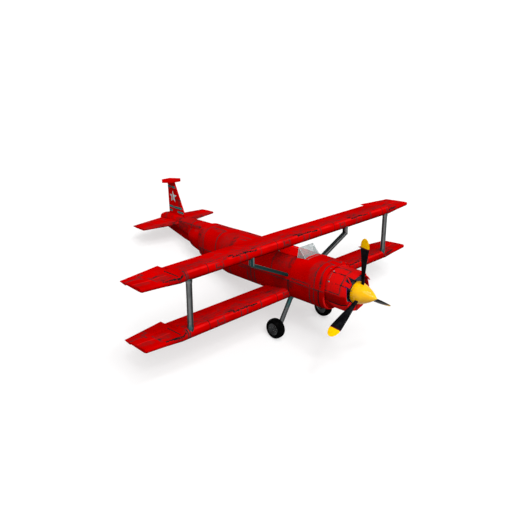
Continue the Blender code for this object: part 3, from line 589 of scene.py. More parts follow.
def blade_paint():
    """Black blades with yellow tips; the metal shows along the worn leading parts."""
    g = Graph("blade_paint")
    x, _, z = g.place()
    out = g.math("SQRT", x * x + z * z) + (g.noise(40, 3) - 0.5) * 0.012
    base = g.mix(g.noise(9, 6, rough=0.7).rise(0.45, 0.70), (0.002, 0.002, 0.003), (0.010, 0.011, 0.014))
    scuffed = g.noise(34, 6, rough=0.75, shift=2.2).rise(0.60, 0.72) * out.rise(0.5, 0.9)
    colour = g.mix(scuffed * 0.35, base, (0.07, 0.07, 0.08))
    colour = g.mix(out.within(1.006, 1.020, 0.004) * 0.9, colour, (0.110, 0.0, 0.020))
    yellow = g.mix(g.noise(15, 5).rise(0.45, 0.75), (1.00, 0.570, 0.0), (0.72, 0.34, 0.0))
    colour = g.mix(out.rise(1.022, 1.030), colour, yellow)
    return g.finish(colour, g.noise(22, 5) * 0.25 + 0.26, g.noise(60, 4), 0.0008, 0.25,
                    Specular_IOR_Level=0.02)


def intake_paint():
    """Metal from green-blue at the lower right side to near black at the upper left."""
    g = Graph("intake_paint")
    x, _, z = g.place()
    along = x * 0.9 + z * 0.7
    tint = (along + g.noise(4, 4) * 0.20).rise(-0.16, 0.08)
    colour = g.mix(tint, (0.0, 0.330, 0.350), (0.002, 0.002, 0.030))
    colour = g.mix(along.within(-0.22, -0.10, 0.08) * 0.85, colour, (0.002, 0.004, 0.300))
    return g.finish(colour, g.noise(30, 5) * 0.3 + 0.35, g.noise(70, 4), 0.001, 0.3)


def rubber():
    """Near black tyre rubber, a little dusty."""
    g = Graph("tyre_rubber")
    base = g.mix(g.noise(14, 6, rough=0.7).rise(0.40, 0.70), (0.0015, 0.0015, 0.0015), (0.004, 0.004, 0.004))
    dust = g.noise(5, 6, shift=2).rise(0.48, 0.68) * 0.12
    colour = g.mix(dust, base, (0.022, 0.021, 0.020))
    return g.finish(colour, g.noise(18, 4) * 0.25 + 0.62, g.noise(160, 4), 0.0012, 0.5,
                    Specular_IOR_Level=0.0)


def metal(name, light, dark, rough=0.35, grain=40, metallic=0.8):
    """Worn bare or plated metal: stains, fine scratches and uneven polish."""
    g = Graph(name)
    colour = g.mix(g.noise(9, 6, rough=0.7).rise(0.40, 0.70), light, dark)
    scratch = g.noise(grain, 5, stretch=(4, 1, 1), shift=6.1).rise(0.62, 0.70)
    colour = g.mix(scratch * 0.4, colour, tuple(min(1.0, c * 1.8) for c in light))
    roughness = g.noise(grain / 2, 5) * 0.28 + (rough - 0.14)
    return g.finish(colour, roughness, g.noise(grain * 2, 4), 0.0006, 0.3, Metallic=metallic)


def enamel(name, light, dark, rough=0.45, grain=70):
    """Painted or moulded surface with a fine texture, dust and small colour shifts."""
    g = Graph(name)
    colour = g.mix(g.noise(12, 6, rough=0.7).rise(0.38, 0.70), light, dark)
    dust = g.noise(5, 5, shift=3.3).rise(0.52, 0.70)
    colour = g.mix(dust * 0.25, colour, tuple(0.5 * c + 0.08 for c in light))
    return g.finish(colour, g.noise(20, 4) * 0.2 + (rough - 0.10), g.noise(grain, 4), 0.0008, 0.35)


def leather():
    """Brown hide with fine pores, worn paler in places."""
    g = Graph("seat_leather")
    g.place()
    pores = g.node("TexVoronoi", {"Vector": g.point, "Scale": 260}, "Distance", feature="DISTANCE_TO_EDGE")
    base = g.mix(g.noise(8, 6, rough=0.7).rise(0.36, 0.70), (0.105, 0.045, 0.018), (0.050, 0.022, 0.010))
    worn = g.noise(14, 5, shift=7).rise(0.58, 0.72) * 0.5
    colour = g.mix(worn, base, (0.190, 0.100, 0.050))
    height = pores.rise(0.0, 0.12) + g.noise(22, 4) * 0.8
    return g.finish(colour, g.noise(12, 4) * 0.25 + 0.40, height, 0.0010, 0.5)


def webbing():
    """Belt webbing, woven in narrow diagonal ribs."""
    g = Graph("webbing")
    x, y, z = g.place()
    pitch = 2 * math.pi * 320
    weave = (g.math("SINE", (x + y + z) * pitch) + g.math("SINE", (y + z - x) * pitch)) * 0.25
    base = g.mix(g.noise(10, 5).rise(0.35, 0.70), (0.200, 0.180, 0.120), (0.110, 0.098, 0.064))
    colour = g.mix(weave.rise(-0.5, 0.5), (0.120, 0.108, 0.072), base)
    return g.finish(colour, g.noise(40, 3) * 0.2 + 0.70, weave, 0.0008, 0.5)


def screen_glass():
    """Aged clear sheet: faint grey tint, hazed and scratched towards its edges."""
    g = Graph("screen_glass")
    haze = g.noise(7, 5).rise(0.35, 0.75)
    colour = g.mix(haze, (0.38, 0.44, 0.44), (0.26, 0.31, 0.32))
    g.put(g.shader.inputs["Alpha"], haze * 0.16 + 0.44)
    return g.finish(colour, haze * 0.12 + 0.06, g.noise(30, 3), 0.0004, 0.1, Transmission_Weight=0.10)


def decal(name, colour, worn):
    """Thin brushed-on marking paint, chipped through in places."""
    g = Graph(name)
    chips = g.noise(38, 6, rough=0.7).rise(0.64, 0.70)
    base = g.mix(g.noise(9, 5).rise(0.35, 0.70), colour, tuple(0.72 * c for c in colour))
    mixed = g.mix(chips * worn, base, RED_FADED)
    return g.finish(mixed, g.noise(18, 4) * 0.2 + 0.36, g.noise(80, 3), 0.0006, 0.3, Specular_IOR_Level=0.0)


def make_materials():
    """Every finish under its short name."""
    return {
        "fuselage": fuselage_red(),
        "upper": wing_red("upper_wing_red", 0.0, 0.0),
        "lower": wing_red("lower_wing_red", LOWER_DROP, LOWER_SHIFT),
        "cowl": cowl_red(),
        "tail": tail_red(),
        "fin": fin_red(),
        "plain": plain_red(),
        "tube": dark_tube(),
        "yellow": spinner_yellow(),
        "blade": blade_paint(),
        "intake": intake_paint(),
        "rubber": rubber(),
        "hub": metal("hub_metal", (0.016, 0.018, 0.019), (0.006, 0.007, 0.008), 0.34, 50, 0.5),
        "rim": metal("rim_metal", (0.034, 0.037, 0.038), (0.012, 0.013, 0.014), 0.36, 60, 0.5),
        "steel": metal("bare_steel", (0.32, 0.32, 0.31), (0.14, 0.13, 0.12), 0.36, 60),
        "alloy": metal("pale_alloy", (0.62, 0.68, 0.68), (0.40, 0.45, 0.46), 0.40, 60, 0.1),
        "engine": metal("engine_metal", (0.13, 0.13, 0.135), (0.06, 0.06, 0.06), 0.45, 30),
        "cabin": enamel("cabin_green", (0.100, 0.120, 0.095), (0.060, 0.075, 0.060), 0.55),
        "black": enamel("panel_black", (0.016, 0.017, 0.018), (0.008, 0.008, 0.009), 0.50, 140),
        "ivory": enamel("dial_ivory", (0.70, 0.66, 0.55), (0.58, 0.53, 0.42), 0.40),
        "leather": leather(),
        "webbing": webbing(),
        "glass": screen_glass(),
        "teal": decal("teal_marking", (0.004, 0.215, 0.215), 0.4),
        "white": decal("white_marking", (0.52, 0.76, 0.76), 0.2),
        "patina": metal("patina", (0.03, 0.33, 0.33), (0.05, 0.16, 0.16), 0.45, 80, 0.3),
        "seal": enamel("seam_sealant", (0.030, 0.034, 0.035), (0.014, 0.016, 0.017), 0.60, 120),
    }


# The CAD nodes that each finish goes on. Nodes that aren't listed are dark tube
FINISHED = {
    "fuselage": "fuselage",
    "tail": "tail_boom boom_keel tail_fairing stabiliser elevator_left elevator_right",
    "fin": "fin rudder",
    "plain": "fin_cap",
    "cabin": "firewall seat_bulkhead cockpit_floor seat seat_post",
    "black": "instrument_panel",
    "leather": "seat_cushion",
    "glass": "windscreen",
    "cowl": "engine_cowl",
    "intake": "intake_ring",
    "engine": "engine_block",
    "steel": "propeller_shaft",
    "yellow": "spinner",
    "blade": "blade_1 blade_2 blade_3",
    "upper": "upper_wing upper_aileron_left upper_aileron_right",
    "lower": "lower_wing_left lower_wing_right lower_aileron_left lower_aileron_right",
    "hub": "wheel_left wheel_right",
    "rubber": "tyre_left tyre_right",
}
NODE_FINISH = {node: finish for finish, nodes in FINISHED.items() for node in nodes.split()}
BEVELS = {
    "engine_cowl": 0.004, "seat": 0.004, "fin": 0.006, "fin_cap": 0.006, "stabiliser": 0.006, "rudder": 0.003,
    "elevator_left": 0.003, "elevator_right": 0.003, "instrument_panel": 0.003,
}
WELD_DISTANCE = 0.00002


def shading_group():
    """Welds a node's faces, shades it smooth and keeps its sharp edges."""
    group = bpy.data.node_groups.new("smooth_shading", "GeometryNodeTree")
    for way in ("INPUT", "OUTPUT"):
        group.interface.new_socket("Geometry", in_out=way, socket_type="NodeSocketGeometry")
    nodes = group.nodes
    start, end = nodes.new("NodeGroupInput"), nodes.new("NodeGroupOutput")
    weld = nodes.new("GeometryNodeMergeByDistance")
    weld.inputs["Distance"].default_value = WELD_DISTANCE
    angle = nodes.new("GeometryNodeInputMeshEdgeAngle")
    sharp = nodes.new("FunctionNodeCompare")
    sharp.inputs[1].default_value = math.radians(SHARP_DEGREES)
    normals = nodes.new("GeometryNodeSetMeshNormal")
    for source, target in (
        (start.outputs[0], weld.inputs[0]), (weld.outputs[0], normals.inputs["Mesh"]),
        (angle.outputs[0], sharp.inputs[0]), (sharp.outputs[0], normals.inputs["Edge Sharpness"]),
        (normals.outputs[0], end.inputs[0]),
    ):
        group.links.new(source, target)
    return group


def dress_nodes():
    """Paints the CAD nodes, smooths them and rounds the edges of the sheet ones."""
    group = shading_group()
    for name, node in NODES.items():
        node.modifiers.new("smooth_shading", "NODES").node_group = group
        if name in BEVELS:
            bevel = node.modifiers.new("worn_edge", "BEVEL")
            bevel.width = BEVELS[name]
            bevel.segments = 2
            bevel.limit_method = "ANGLE"
            bevel.angle_limit = math.radians(SHARP_DEGREES)
            bevel.harden_normals = True
        finish = MATERIALS[NODE_FINISH.get(name, "tube")]
        for number in range(len(node.data.materials)):
            node.data.materials[number] = finish


# Mesh helpers, in the airframe's axes
def mesh_from(name, bm):
    """The finished bmesh as a mesh."""
    mesh = bpy.data.meshes.new(name)
    bm.to_mesh(mesh)
    bm.free()
    return mesh


def piece(name, bm, finish, body="airframe", smooth=SHARP_DEGREES):
    """Turns a mesh into a piece of the aircraft: in the CAD frame, painted and riding on its body."""
    bmesh.ops.recalc_face_normals(bm, faces=bm.faces)
    mesh = mesh_from(name, bm)
    mesh.transform(AIRFRAME)
    mesh.materials.append(MATERIALS[finish])
    mesh.shade_smooth()
    mesh.set_sharp_from_angle(angle=math.radians(smooth))
    made = place_object(name, mesh)
    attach(made, body)
    return made


def skin(bm, rings, closed=False):
    """Joins rings of points with faces, and caps the two ends or closes the last ring on the first."""
    loops = [[bm.verts.new(p) for p in ring] for ring in rings]
    pairs = list(zip(loops, loops[1:]))
    if closed:
        pairs.append((loops[-1], loops[0]))
    count = len(loops[0])
    for a, b in pairs:
        for i in range(count):
            j = (i + 1) % count
            bm.faces.new((a[i], a[j], b[j], b[i]))
    if not closed:
        bm.faces.new(loops[0])
        bm.faces.new(list(reversed(loops[-1])))
    return bm


def frame_of(axis):
    """The axis as a unit vector and two more across it."""
    axis = Vector(axis).normalized()
    side = Vector((0, 0, 1)) if abs(axis.z) < 0.9 else Vector((1, 0, 0))
    side = (side - axis * side.dot(axis)).normalized()
    return axis, side, axis.cross(side)


def around(count, start=0.0):
    """Angles of that many even steps round a full turn, from that part of a step."""
    return [2 * math.pi * (k + start) / count for k in range(count)]


def circle(centre, side, up, radius, count):
    """Ring of points in the plane of side and up."""
    return [centre + (side * math.cos(a) + up * math.sin(a)) * radius for a in around(count)]


def lathe(bm, profile, centre, axis, count=32, closed=False):
    """Body of revolution; profile rows are (distance along the axis, radius)."""
    axis, side, up = frame_of(axis)
    centre = Vector(centre)
    return skin(bm, [circle(centre + axis * t, side, up, r, count) for t, r in profile], closed)


def rod(bm, points, radius, count=12, closed=False):
    """Round bar along points."""
    points = [Vector(p) for p in points]
    total = len(points)
    rings = []
    for i, p in enumerate(points):
        before = points[(i - 1) % total] if closed or i else p
        after = points[(i + 1) % total] if closed or i + 1 < total else p
        _, side, up = frame_of(after - before)
        rings.append(circle(p, side, up, radius, count))
    return skin(bm, rings, closed)


def strap(bm, points, normals, width, thickness):
    """Flat band along points, lying on the side that the normals point to."""
    points = [Vector(p) for p in points]
    rings = []
    for i, p in enumerate(points):
        along = points[min(i + 1, len(points) - 1)] - points[max(i - 1, 0)]
        normal = Vector(normals[i]).normalized()
        across = along.cross(normal).normalized() * width / 2
        lift = normal * thickness
        rings.append([p - across, p + across, p + across * 0.94 + lift, p - across * 0.94 + lift])
    return skin(bm, rings)


def block(bm, low, high, bevel=0.0):
    """Box between two corners."""
    made = bmesh.ops.create_cube(bm, size=1.0)["verts"]
    low, high = Vector(low), Vector(high)
    for v in made:
        v.co = Vector(low[i] + (v.co[i] + 0.5) * (high[i] - low[i]) for i in range(3))
    if bevel:
        edges = {e for v in made for e in v.link_edges}
        bmesh.ops.bevel(bm, geom=list(edges), offset=bevel, segments=2, affect="EDGES", profile=0.5)
    return bm


def plate(bm, outline, normal, thickness):
    """Flat plate: the outline, and the same moved by the thickness along the normal."""
    lift = Vector(normal).normalized() * thickness
    return skin(bm, [[Vector(p) for p in outline], [Vector(p) + lift for p in outline]])


def outward(degrees, side=1):
    """Direction across the fuselage at that angle from the top, to port or with side -1 to starboard."""
    a = math.radians(degrees)
    return Vector((side * math.sin(a), 0, math.cos(a)))


def spaced(low, high, pitch):
    """Even steps from low to high, near that pitch."""
    count = max(1, round((high - low) / pitch))
    return [low + (high - low) * k / count for k in range(count + 1)]


class Surface:
    """A CAD node's skin, for placing small pieces on it."""

    def __init__(self, *names):
        points, faces = [], []
        for name in names:
            start = len(points)
            mesh = NODES[name].data
            points += [LOCAL @ v.co for v in mesh.vertices]
            faces += [[start + i for i in p.vertices] for p in mesh.polygons]
        self.tree = BVHTree.FromPolygons(points, faces)

    def hit(self, start, aim):
        """Point and outward normal where a ray from start meets the skin, or None."""
        aim = Vector(aim).normalized()
        point, normal, _, _ = self.tree.ray_cast(Vector(start), aim)
        if point is None:
            return None
        return point, (normal if normal.dot(aim) < 0 else -normal)


# Rivets. A row of the dome is a share of the height and a share of the radius
RIVET_RADIUS = 0.0065
RIVET_SMALL = 0.0055
RIVET_HEIGHT = 0.0022
RIVET_SIDES = 8
RIVET_DOME = ((-0.3, 1.0), (0.45, 0.86), (0.9, 0.45))
RIVET_SMOOTH = 60
RIVET_PITCH = 0.055


def rivet(bm, point, normal, radius=RIVET_RADIUS, height=RIVET_HEIGHT):
    """Low domed head sunk a hair into the skin."""
    lathe(bm, [(lift * height, share * radius) for lift, share in RIVET_DOME], point, normal, RIVET_SIDES)


def riveted(name, surface, rays, radius=RIVET_RADIUS):
    """A rivet wherever a ray, a start and an aim, meets the surface."""
    bm = bmesh.new()
    for start, aim in rays:
        found = surface.hit(start, aim)
        if found:
            rivet(bm, *found, radius, RIVET_HEIGHT * radius / RIVET_RADIUS)
    piece(name, bm, "plain", smooth=RIVET_SMOOTH)


def fuselage_rivets():
    """Rows beside the ring joints and along the side joints of the barrel."""
    rays = []
    for side in BOTH:
        for station in (-0.775, -0.130, 0.440, 1.120, 1.825, 2.410, 2.940, 3.160):
            for degrees in spaced(4, 176, 6.2):
                out = outward(degrees, side)
                rays.append((Vector((0, station, BARREL_Z)) + out * 1.2, -out))
        for height, low, high in ((0.028, -0.95, 3.14), (-0.030, -0.95, 3.14), (-0.330, -0.60, 3.05)):
            rays += [((side * 1.2, y, height), (-side, 0, 0)) for y in spaced(low, high, RIVET_PITCH)]
    riveted("fuselage_rivets", Surface("fuselage"), rays)


def wing_rivets():
    """Rows along the spars and chordwise rows at the bays, on both faces."""
    for name, drop, shift, nodes, root in (
        ("upper_wing_rivets", 0.0, 0.0, ("upper_wing",), 0.0),
        ("lower_wing_rivets", LOWER_DROP, LOWER_SHIFT, ("lower_wing_left", "lower_wing_right"), 0.56),
    ):
        spots = []
        for side in BOTH:
            for y in (0.052, 0.250, 0.455):
                spots += [(side * x, y) for x in spaced(max(root, 0.03), 3.36, RIVET_PITCH * 1.3)]
            for x in spaced(3.52, 4.34, RIVET_PITCH * 1.3):
                spots += [(side * x, 0.120), (side * x, 0.455)]
            for x in (0.66, 1.32, 1.98, 2.64, 3.24, 3.62, 4.10):
                if x > root:
                    spots += [(side * x, y) for y in spaced(0.10, 0.70 if x < 3.4 else 0.44, RIVET_PITCH)]
        middle = WING_NOSE[1] - drop
        rays = [((x, y + shift, middle + up * 0.35), (0, 0, -up)) for x, y in spots for up in (1, -1)]
        riveted(name, Surface(*nodes), rays, RIVET_SMALL)


def tail_rivets():
    """Rows on the boom and keel, on both faces of the stabiliser and along the fin's two edges."""
    rays = []
    for side in BOTH:
        beside = [(y, z) for z in (0.35, 0.12) for y in spaced(3.30, 4.15, RIVET_PITCH)]
        beside += [(y, z) for y in (3.70, 4.00) for z in spaced(-0.15, 0.42, RIVET_PITCH)]
        rays += [((side * 0.8, y, z), (-side, 0, 0)) for y, z in beside]
        for x in (0.36, 0.80, 1.16):
            for y in spaced(4.32 + 0.16 * x, 4.68, RIVET_PITCH):
                rays += [((side * x, y, STAB_Z + up * 0.3), (0, 0, -up)) for up in (1, -1)]
        for foot_y, slope, foot_z in ((4.640, 0.145, 0.535), (4.260, 0.4798, 0.520)):
            rays += [((side * 0.5, foot_y + slope * (z - foot_z), z), (-side, 0, 0))
                     for z in spaced(0.58, 1.39, RIVET_PITCH)]
    surface = Surface("tail_boom", "boom_keel", "tail_fairing", "stabiliser", "fin")
    riveted("tail_rivets", surface, rays, RIVET_SMALL)


# Markings on the fin and rudder. An edge is its y at the bottom and at the top of those heights
FIN_HEIGHTS = (0.440, 1.4154)
FIN_LEAD = (4.182, 4.650)
RUDDER_HEIGHTS = (0.535, 1.410)
HINGE = (4.668, 4.795)
TRAILING = (4.906, 4.938)
RUDDER_HALF = (0.021, 0.007)
NOSE_GAP = 0.0345
MARKING_FOOT = 0.538
PAINT = 0.0007
STAR_CENTRE = (4.700, 1.000)
STAR_RADIUS = 0.172
STAR_INNER = 0.40


def slanted(ends, limits, at):
    """Value at that place of a straight line from one end to the other between the limits."""
    return ends[0] + (ends[1] - ends[0]) * (at - limits[0]) / (limits[1] - limits[0])


def fin_edges(z):
    """Leading edge, rudder's hinge line and trailing edge at that height."""
    rows = ((FIN_LEAD, FIN_HEIGHTS), (HINGE, RUDDER_HEIGHTS), (TRAILING, RUDDER_HEIGHTS))
    return [slanted(ends, heights, z) for ends, heights in rows]


def rudder_half(y, z):
    """Half thickness of the rudder aft of its round nose."""
    _, hinge, tail = fin_edges(z)
    return slanted(RUDDER_HALF, (hinge, tail), y)


# For each part: its body, its half thickness, and the edges that a marking stays inside, positive within
MARKED = {
    "fin": ("airframe", lambda y, z: FIN_HALF, (lambda y, z: fin_edges(z)[1] - NOSE_GAP - y,
                                                lambda y, z: y - fin_edges(z)[0] - 0.004)),
    "rudder": ("rudder", rudder_half, (lambda y, z: y - fin_edges(z)[1] - 0.002,
                                       lambda y, z: fin_edges(z)[2] - 0.003 - y,
                                       lambda y, z: z - MARKING_FOOT)),
}


def clip(outline, keep):
    """The part of a convex outline where keep(y, z) is positive, cut along straight edges."""
    kept = []
    for i, a in enumerate(outline):
        b = outline[(i + 1) % len(outline)]
        ka, kb = keep(*a), keep(*b)
        if ka >= 0:
            kept.append(a)
        if (ka >= 0) != (kb >= 0):
            t = ka / (ka - kb)
            kept.append((a[0] + (b[0] - a[0]) * t, a[1] + (b[1] - a[1]) * t))
    return kept


def marking(name, outlines, finish):
    """Painted shapes on both faces of the fin and rudder, split at the hinge gap."""
    for part, (body, half, edges) in MARKED.items():
        bm = bmesh.new()
        for shape in outlines:
            for edge in edges:
                shape = clip(shape, edge)
            if len(shape) < 3:
                continue
            for side in BOTH:
                skin(bm, [[(side * (half(y, z) + lift), y, z) for y, z in shape] for lift in (-PAINT, PAINT)])
        piece(f"{name}_{part}", bm, finish, body)


def fin_markings():
    """Two full bands, two short dashes at the foot and a plain star."""
    bars = ((4.0, 5.1, 1.241, 1.295), (4.0, 5.1, 0.686, 0.740), (4.225, 4.525, 0.572, 0.624),
            (4.750, 4.900, 0.572, 0.624))
    marking("teal_bands", [((a, low), (b, low), (b, high), (a, high)) for a, b, low, high in bars], "teal")
    points = []
    for k in range(10):
        r = STAR_RADIUS * (STAR_INNER if k % 2 else 1.0)
        a = math.pi / 2 + math.pi * k / 5
        points.append((STAR_CENTRE[0] + r * math.cos(a), STAR_CENTRE[1] + r * math.sin(a)))
    # A star is cut piece by piece, because its outline isn't convex
    arms = []
    for k in range(0, 10, 2):
        arms.append((points[k], points[(k + 1) % 10], STAR_CENTRE))
        arms.append((points[k], STAR_CENTRE, points[k - 1]))
    marking("star", arms, "white")


# Wheels. A profile row is a distance along the axle and a radius
TYRE_HALF = 0.098
TYRE_WAIST = 0.165
TYRE_STEPS = 60
GROOVES = (-0.056, -0.028, 0.0, 0.028, 0.056)
GROOVE_HALF = 0.0035
GROOVE_DEPTH = 0.006
BEAD_AT = 0.092
BEAD_HALF = 0.003
BEAD_DEPTH = 0.0015
RIM_FLANGE = ((0.0835, 0.1290), (0.0905, 0.1300), (0.0930, 0.1345), (0.0900, 0.1385), (0.0850, 0.1370))
HUB_CAP = ((0.0205, 0.032), (0.0330, 0.032), (0.0360, 0.028), (0.0360, 0.014), (0.0500, 0.012),
           (0.0520, 0.003))
WHEEL_BOLT = ((-0.004, 0.0075), (0.006, 0.0075), (0.0075, 0.0060))
VALVE_STEM = ((-0.004, 0.004), (0.020, 0.004), (0.021, 0.0055), (0.030, 0.0055))


def tyres():
    """Balloon tyre with shallow tread grooves and a sidewall bead, on the CAD tyre's outline."""
    for side, tag in SIDES:
        profile = [(-0.0540, 0.1425), (-0.0850, 0.1370)]
        for k in range(TYRE_STEPS + 1):
            a = math.pi * (1 - k / TYRE_STEPS)
            t = TYRE_HALF * math.copysign(abs(math.cos(a)) ** 0.75, math.cos(a))
            r = TYRE_WAIST + (TYRE_RADIUS - TYRE_WAIST) * math.sin(a) ** 0.7
            if any(abs(t - at) < GROOVE_HALF for at in GROOVES):
                r -= GROOVE_DEPTH
            if abs(abs(t) - BEAD_AT) < BEAD_HALF:
                r -= BEAD_DEPTH
            profile.append((t, r))
        profile += [(0.0850, 0.1370), (0.0540, 0.1425)]
        row = [(side * t, r) for t, r in profile]
        bm = lathe(bmesh.new(), row, (side * WHEEL_X, 0, WHEEL_Z), (1, 0, 0), 96, True)
        made = piece(f"tyre_{tag}_tread", bm, "rubber", f"{tag}_wheel", 25)
        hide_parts(f"tyre_{tag}")


def hub_details():
    """Rim flange, hub cap, ring of bolts and a valve stem on each dished wheel."""
    for side, tag in SIDES:
        centre = Vector((side * WHEEL_X, 0, WHEEL_Z))
        axle = Vector((side, 0, 0))
        bm = bmesh.new()
        for face in (1, -1):
            lathe(bm, [(face * t, r) for t, r in RIM_FLANGE], centre, axle, 64, True)
        lathe(bm, HUB_CAP, centre, axle, 24)
        piece(f"wheel_{tag}_rim", bm, "rim", f"{tag}_wheel")
        bm = bmesh.new()
        for a in around(6):
            out = Vector((0, math.cos(a), math.sin(a)))
            lathe(bm, WHEEL_BOLT, centre + out * 0.066 + axle * 0.034, axle, 6)
        lathe(bm, VALVE_STEM, centre + Vector((side * 0.052, 0.098, 0.0)), (side, 0.35, 0), 10)
        piece(f"wheel_{tag}_bolts", bm, "steel", f"{tag}_wheel")


# Struts and gear legs. A leg's end is its x and z
WING_COLLAR = 0.062
LEG_COLLAR = 0.055
LEG_TOP = (0.330, -0.450)
LEG_FOOT = (0.705, -1.060)
AXLE_COLLAR_X = 0.7700
AXLE_COLLAR = ((0.0, 0.046), (0.010, 0.046), (0.012, 0.040), (0.012, 0.0315), (0.0, 0.0315))


def collar(bm, foot, axis, radius, height, flare):
    """Streamlined foot of a strut, wider where it meets the skin."""
    profile = [(0.0, flare), (0.12, flare), (0.45, 0.4 * flare + 0.66), (1.0, 1.015), (1.0, 0.9), (0.0, 0.9)]
    lathe(bm, [(height * t, radius * r) for t, r in profile], foot, axis, 28, True)


def strut_fittings():
    """A collar at each end of the struts between the wings, and screws round the lower one."""
    upper, lower = Surface("upper_wing"), Surface("lower_wing_left", "lower_wing_right")
    for side, tag in SIDES:
        x = side * STRUT_X
        top = upper.hit((x, 0.0, 0.3), (0, 0, 1))[0]
        foot = lower.hit((x, 0.0, 0.3), (0, 0, -1))[0]
        bm = bmesh.new()
        collar(bm, foot - Vector((0, 0, 0.004)), (0, 0, 1), WING_COLLAR, 0.060, 1.12)
        collar(bm, top + Vector((0, 0, 0.012)), (0, 0, -1), WING_COLLAR, 0.070, 1.12)
        for a in around(6, 0.5):
            out = Vector((math.cos(a), math.sin(a), 0))
            rivet(bm, Vector((x, 0, foot.z + 0.010)) + out * 0.0680, out, 0.007, 0.004)
        piece(f"wing_strut_{tag}_collars", bm, "tube")


def gear_fittings():
    """Shoe where each gear leg meets the fuselage, and the collar on its axle."""
    barrel = Surface("fuselage")
    for side, tag in SIDES:
        top, foot = (Vector((side * x, 0, z)) for x, z in (LEG_TOP, LEG_FOOT))
        axis = (foot - top).normalized()
        bm = bmesh.new()
        collar(bm, barrel.hit(top + axis * 0.6, -axis)[0] - axis * 0.012, axis, LEG_COLLAR, 0.060, 1.22)
        lathe(bm, AXLE_COLLAR, (side * AXLE_COLLAR_X, 0, WHEEL_Z), (side, 0, 0), 24, True)
        piece(f"gear_leg_{tag}_fittings", bm, "tube")


# Engine cowl. Places on it are the degrees from the top and the station
LATCHES = ((60, -1.115), (27, -1.095))
LATCH = ((-0.003, 0.016), (0.004, 0.016), (0.007, 0.012), (0.008, 0.004))
SLOTS = ((35.5, -1.078), (40.5, -1.080), (45.5, -1.082), (50.5, -1.084), (28.5, -1.050), (15.0, -1.020))
SLOT_CORNERS = ((-0.014, -0.010), (0.014, -0.010), (0.014, 0.010), (-0.014, 0.010))
SCREWS = [(row + beside, y) for row in (31, 60, 86, 6) for y in spaced(-1.41, -1.03, 0.048)
          for beside in (-2.2, 2.2)]


def on_cowl(cowl, degrees, y, side=1):
    """Point and outward normal of the cowl at that place."""
    out = outward(degrees, side)
    return cowl.hit(Vector((0, y, 0)) + out * 0.9, -out)


def cooling_slot(bm, point, normal):
    """Low scoop, lifted and narrowed towards its rear."""
    across = Vector((0, 1, 0)).cross(normal).normalized()
    along = normal.cross(across).normalized()
    ring = [point + across * a + along * b - normal * 0.002 for a, b in SLOT_CORNERS]
    lid = [point + across * a * 0.85 + along * (b * 0.4 + 0.004) + normal * 0.007 for a, b in SLOT_CORNERS]
    skin(bm, [ring, lid])


def cowl_details():
    """Latch buttons, cooling slots and screws on the cowl's petals."""
    cowl = Surface("engine_cowl", "fuselage")
    latches, slots, screws = bmesh.new(), bmesh.new(), bmesh.new()
    for side in BOTH:
        for place in LATCHES:
            lathe(latches, LATCH, *on_cowl(cowl, *place, side), 16)
        for place in SLOTS:
            cooling_slot(slots, *on_cowl(cowl, *place, side))
        for place in SCREWS:
            rivet(screws, *on_cowl(cowl, *place, side), 0.0048, 0.0016)
    piece("cowl_latches", latches, "patina")
    piece("cowl_slots", slots, "seal")
    piece("cowl_screws", screws, "plain", smooth=RIVET_SMOOTH)


def cowl_closing_strip():
    """Sheet closing the step between the fuselage's front rim and the cowl, over the top and down to port."""
    rim, cowl = Surface("fuselage"), Surface("engine_cowl")
    rings = []
    for degrees in range(-8, 104, 4):
        out = outward(degrees)
        outer = rim.hit(Vector((0, -1.058, BARREL_Z)), out)
        inner = on_cowl(cowl, degrees, -1.120)
        if outer and inner:
            rings.append([outer[0] - out * 0.002, inner[0] + out * 0.003, inner[0] - out * 0.004,
                          outer[0] - out * 0.002 + Vector((0, 0.006, 0))])
    piece("cowl_closing_strip", skin(bmesh.new(), rings), "cowl")


def spinner_details():
    """Screws round the spinner's back ring, left out where a blade is in the way."""
    surface = Surface("spinner")
    bm = bmesh.new()
    for a in around(24, 0.5):
        out = Vector((math.cos(a), 0, math.sin(a)))
        found = surface.hit(Vector((0, -1.590, 0)) + out * 0.5, -out)
        if found and math.hypot(found[0].x, found[0].z) > 0.22:
            rivet(bm, *found, 0.0055, 0.0018)
    piece("spinner_screws", bm, "steel", "propeller", RIVET_SMOOTH)


# Cockpit
def cockpit_rim():
    """Rolled edge round the cockpit opening, following the fuselage's top."""
    front, back, half = COCKPIT
    middle, reach = (front + back) / 2, (back - front) / 2
    surface = Surface("fuselage")
    points = []
    for a in around(72):
        x = half * math.copysign(abs(math.cos(a)) ** 0.5, math.cos(a))
        y = middle + reach * math.copysign(abs(math.sin(a)) ** 0.5, math.sin(a))
        out = Vector((math.cos(a) * half, math.sin(a) * reach, 0)).normalized() * 0.006
        found = surface.hit((x + out.x, y + out.y, 1.0), (0, 0, -1))
        if found:
            points.append(found[0] + found[1] * 0.002)
    bm = rod(bmesh.new(), points, 0.0085, 10, True)
    piece("cockpit_rim", bm, "plain", smooth=60)


def cockpit_frames():
    """Formers inside the cockpit's walls, seen past the rim."""
    surface = Surface("fuselage")
    bm = bmesh.new()
    for y in (0.430, 0.800):
        for side in BOTH:
            found = [surface.hit((0, y, BARREL_Z), outward(degrees, side)) for degrees in range(34, 118, 4)]
            points, normals = zip(*(place for place in found if place))
            strap(bm, points, normals, 0.028, 0.016)
    piece("cockpit_formers", bm, "plain")


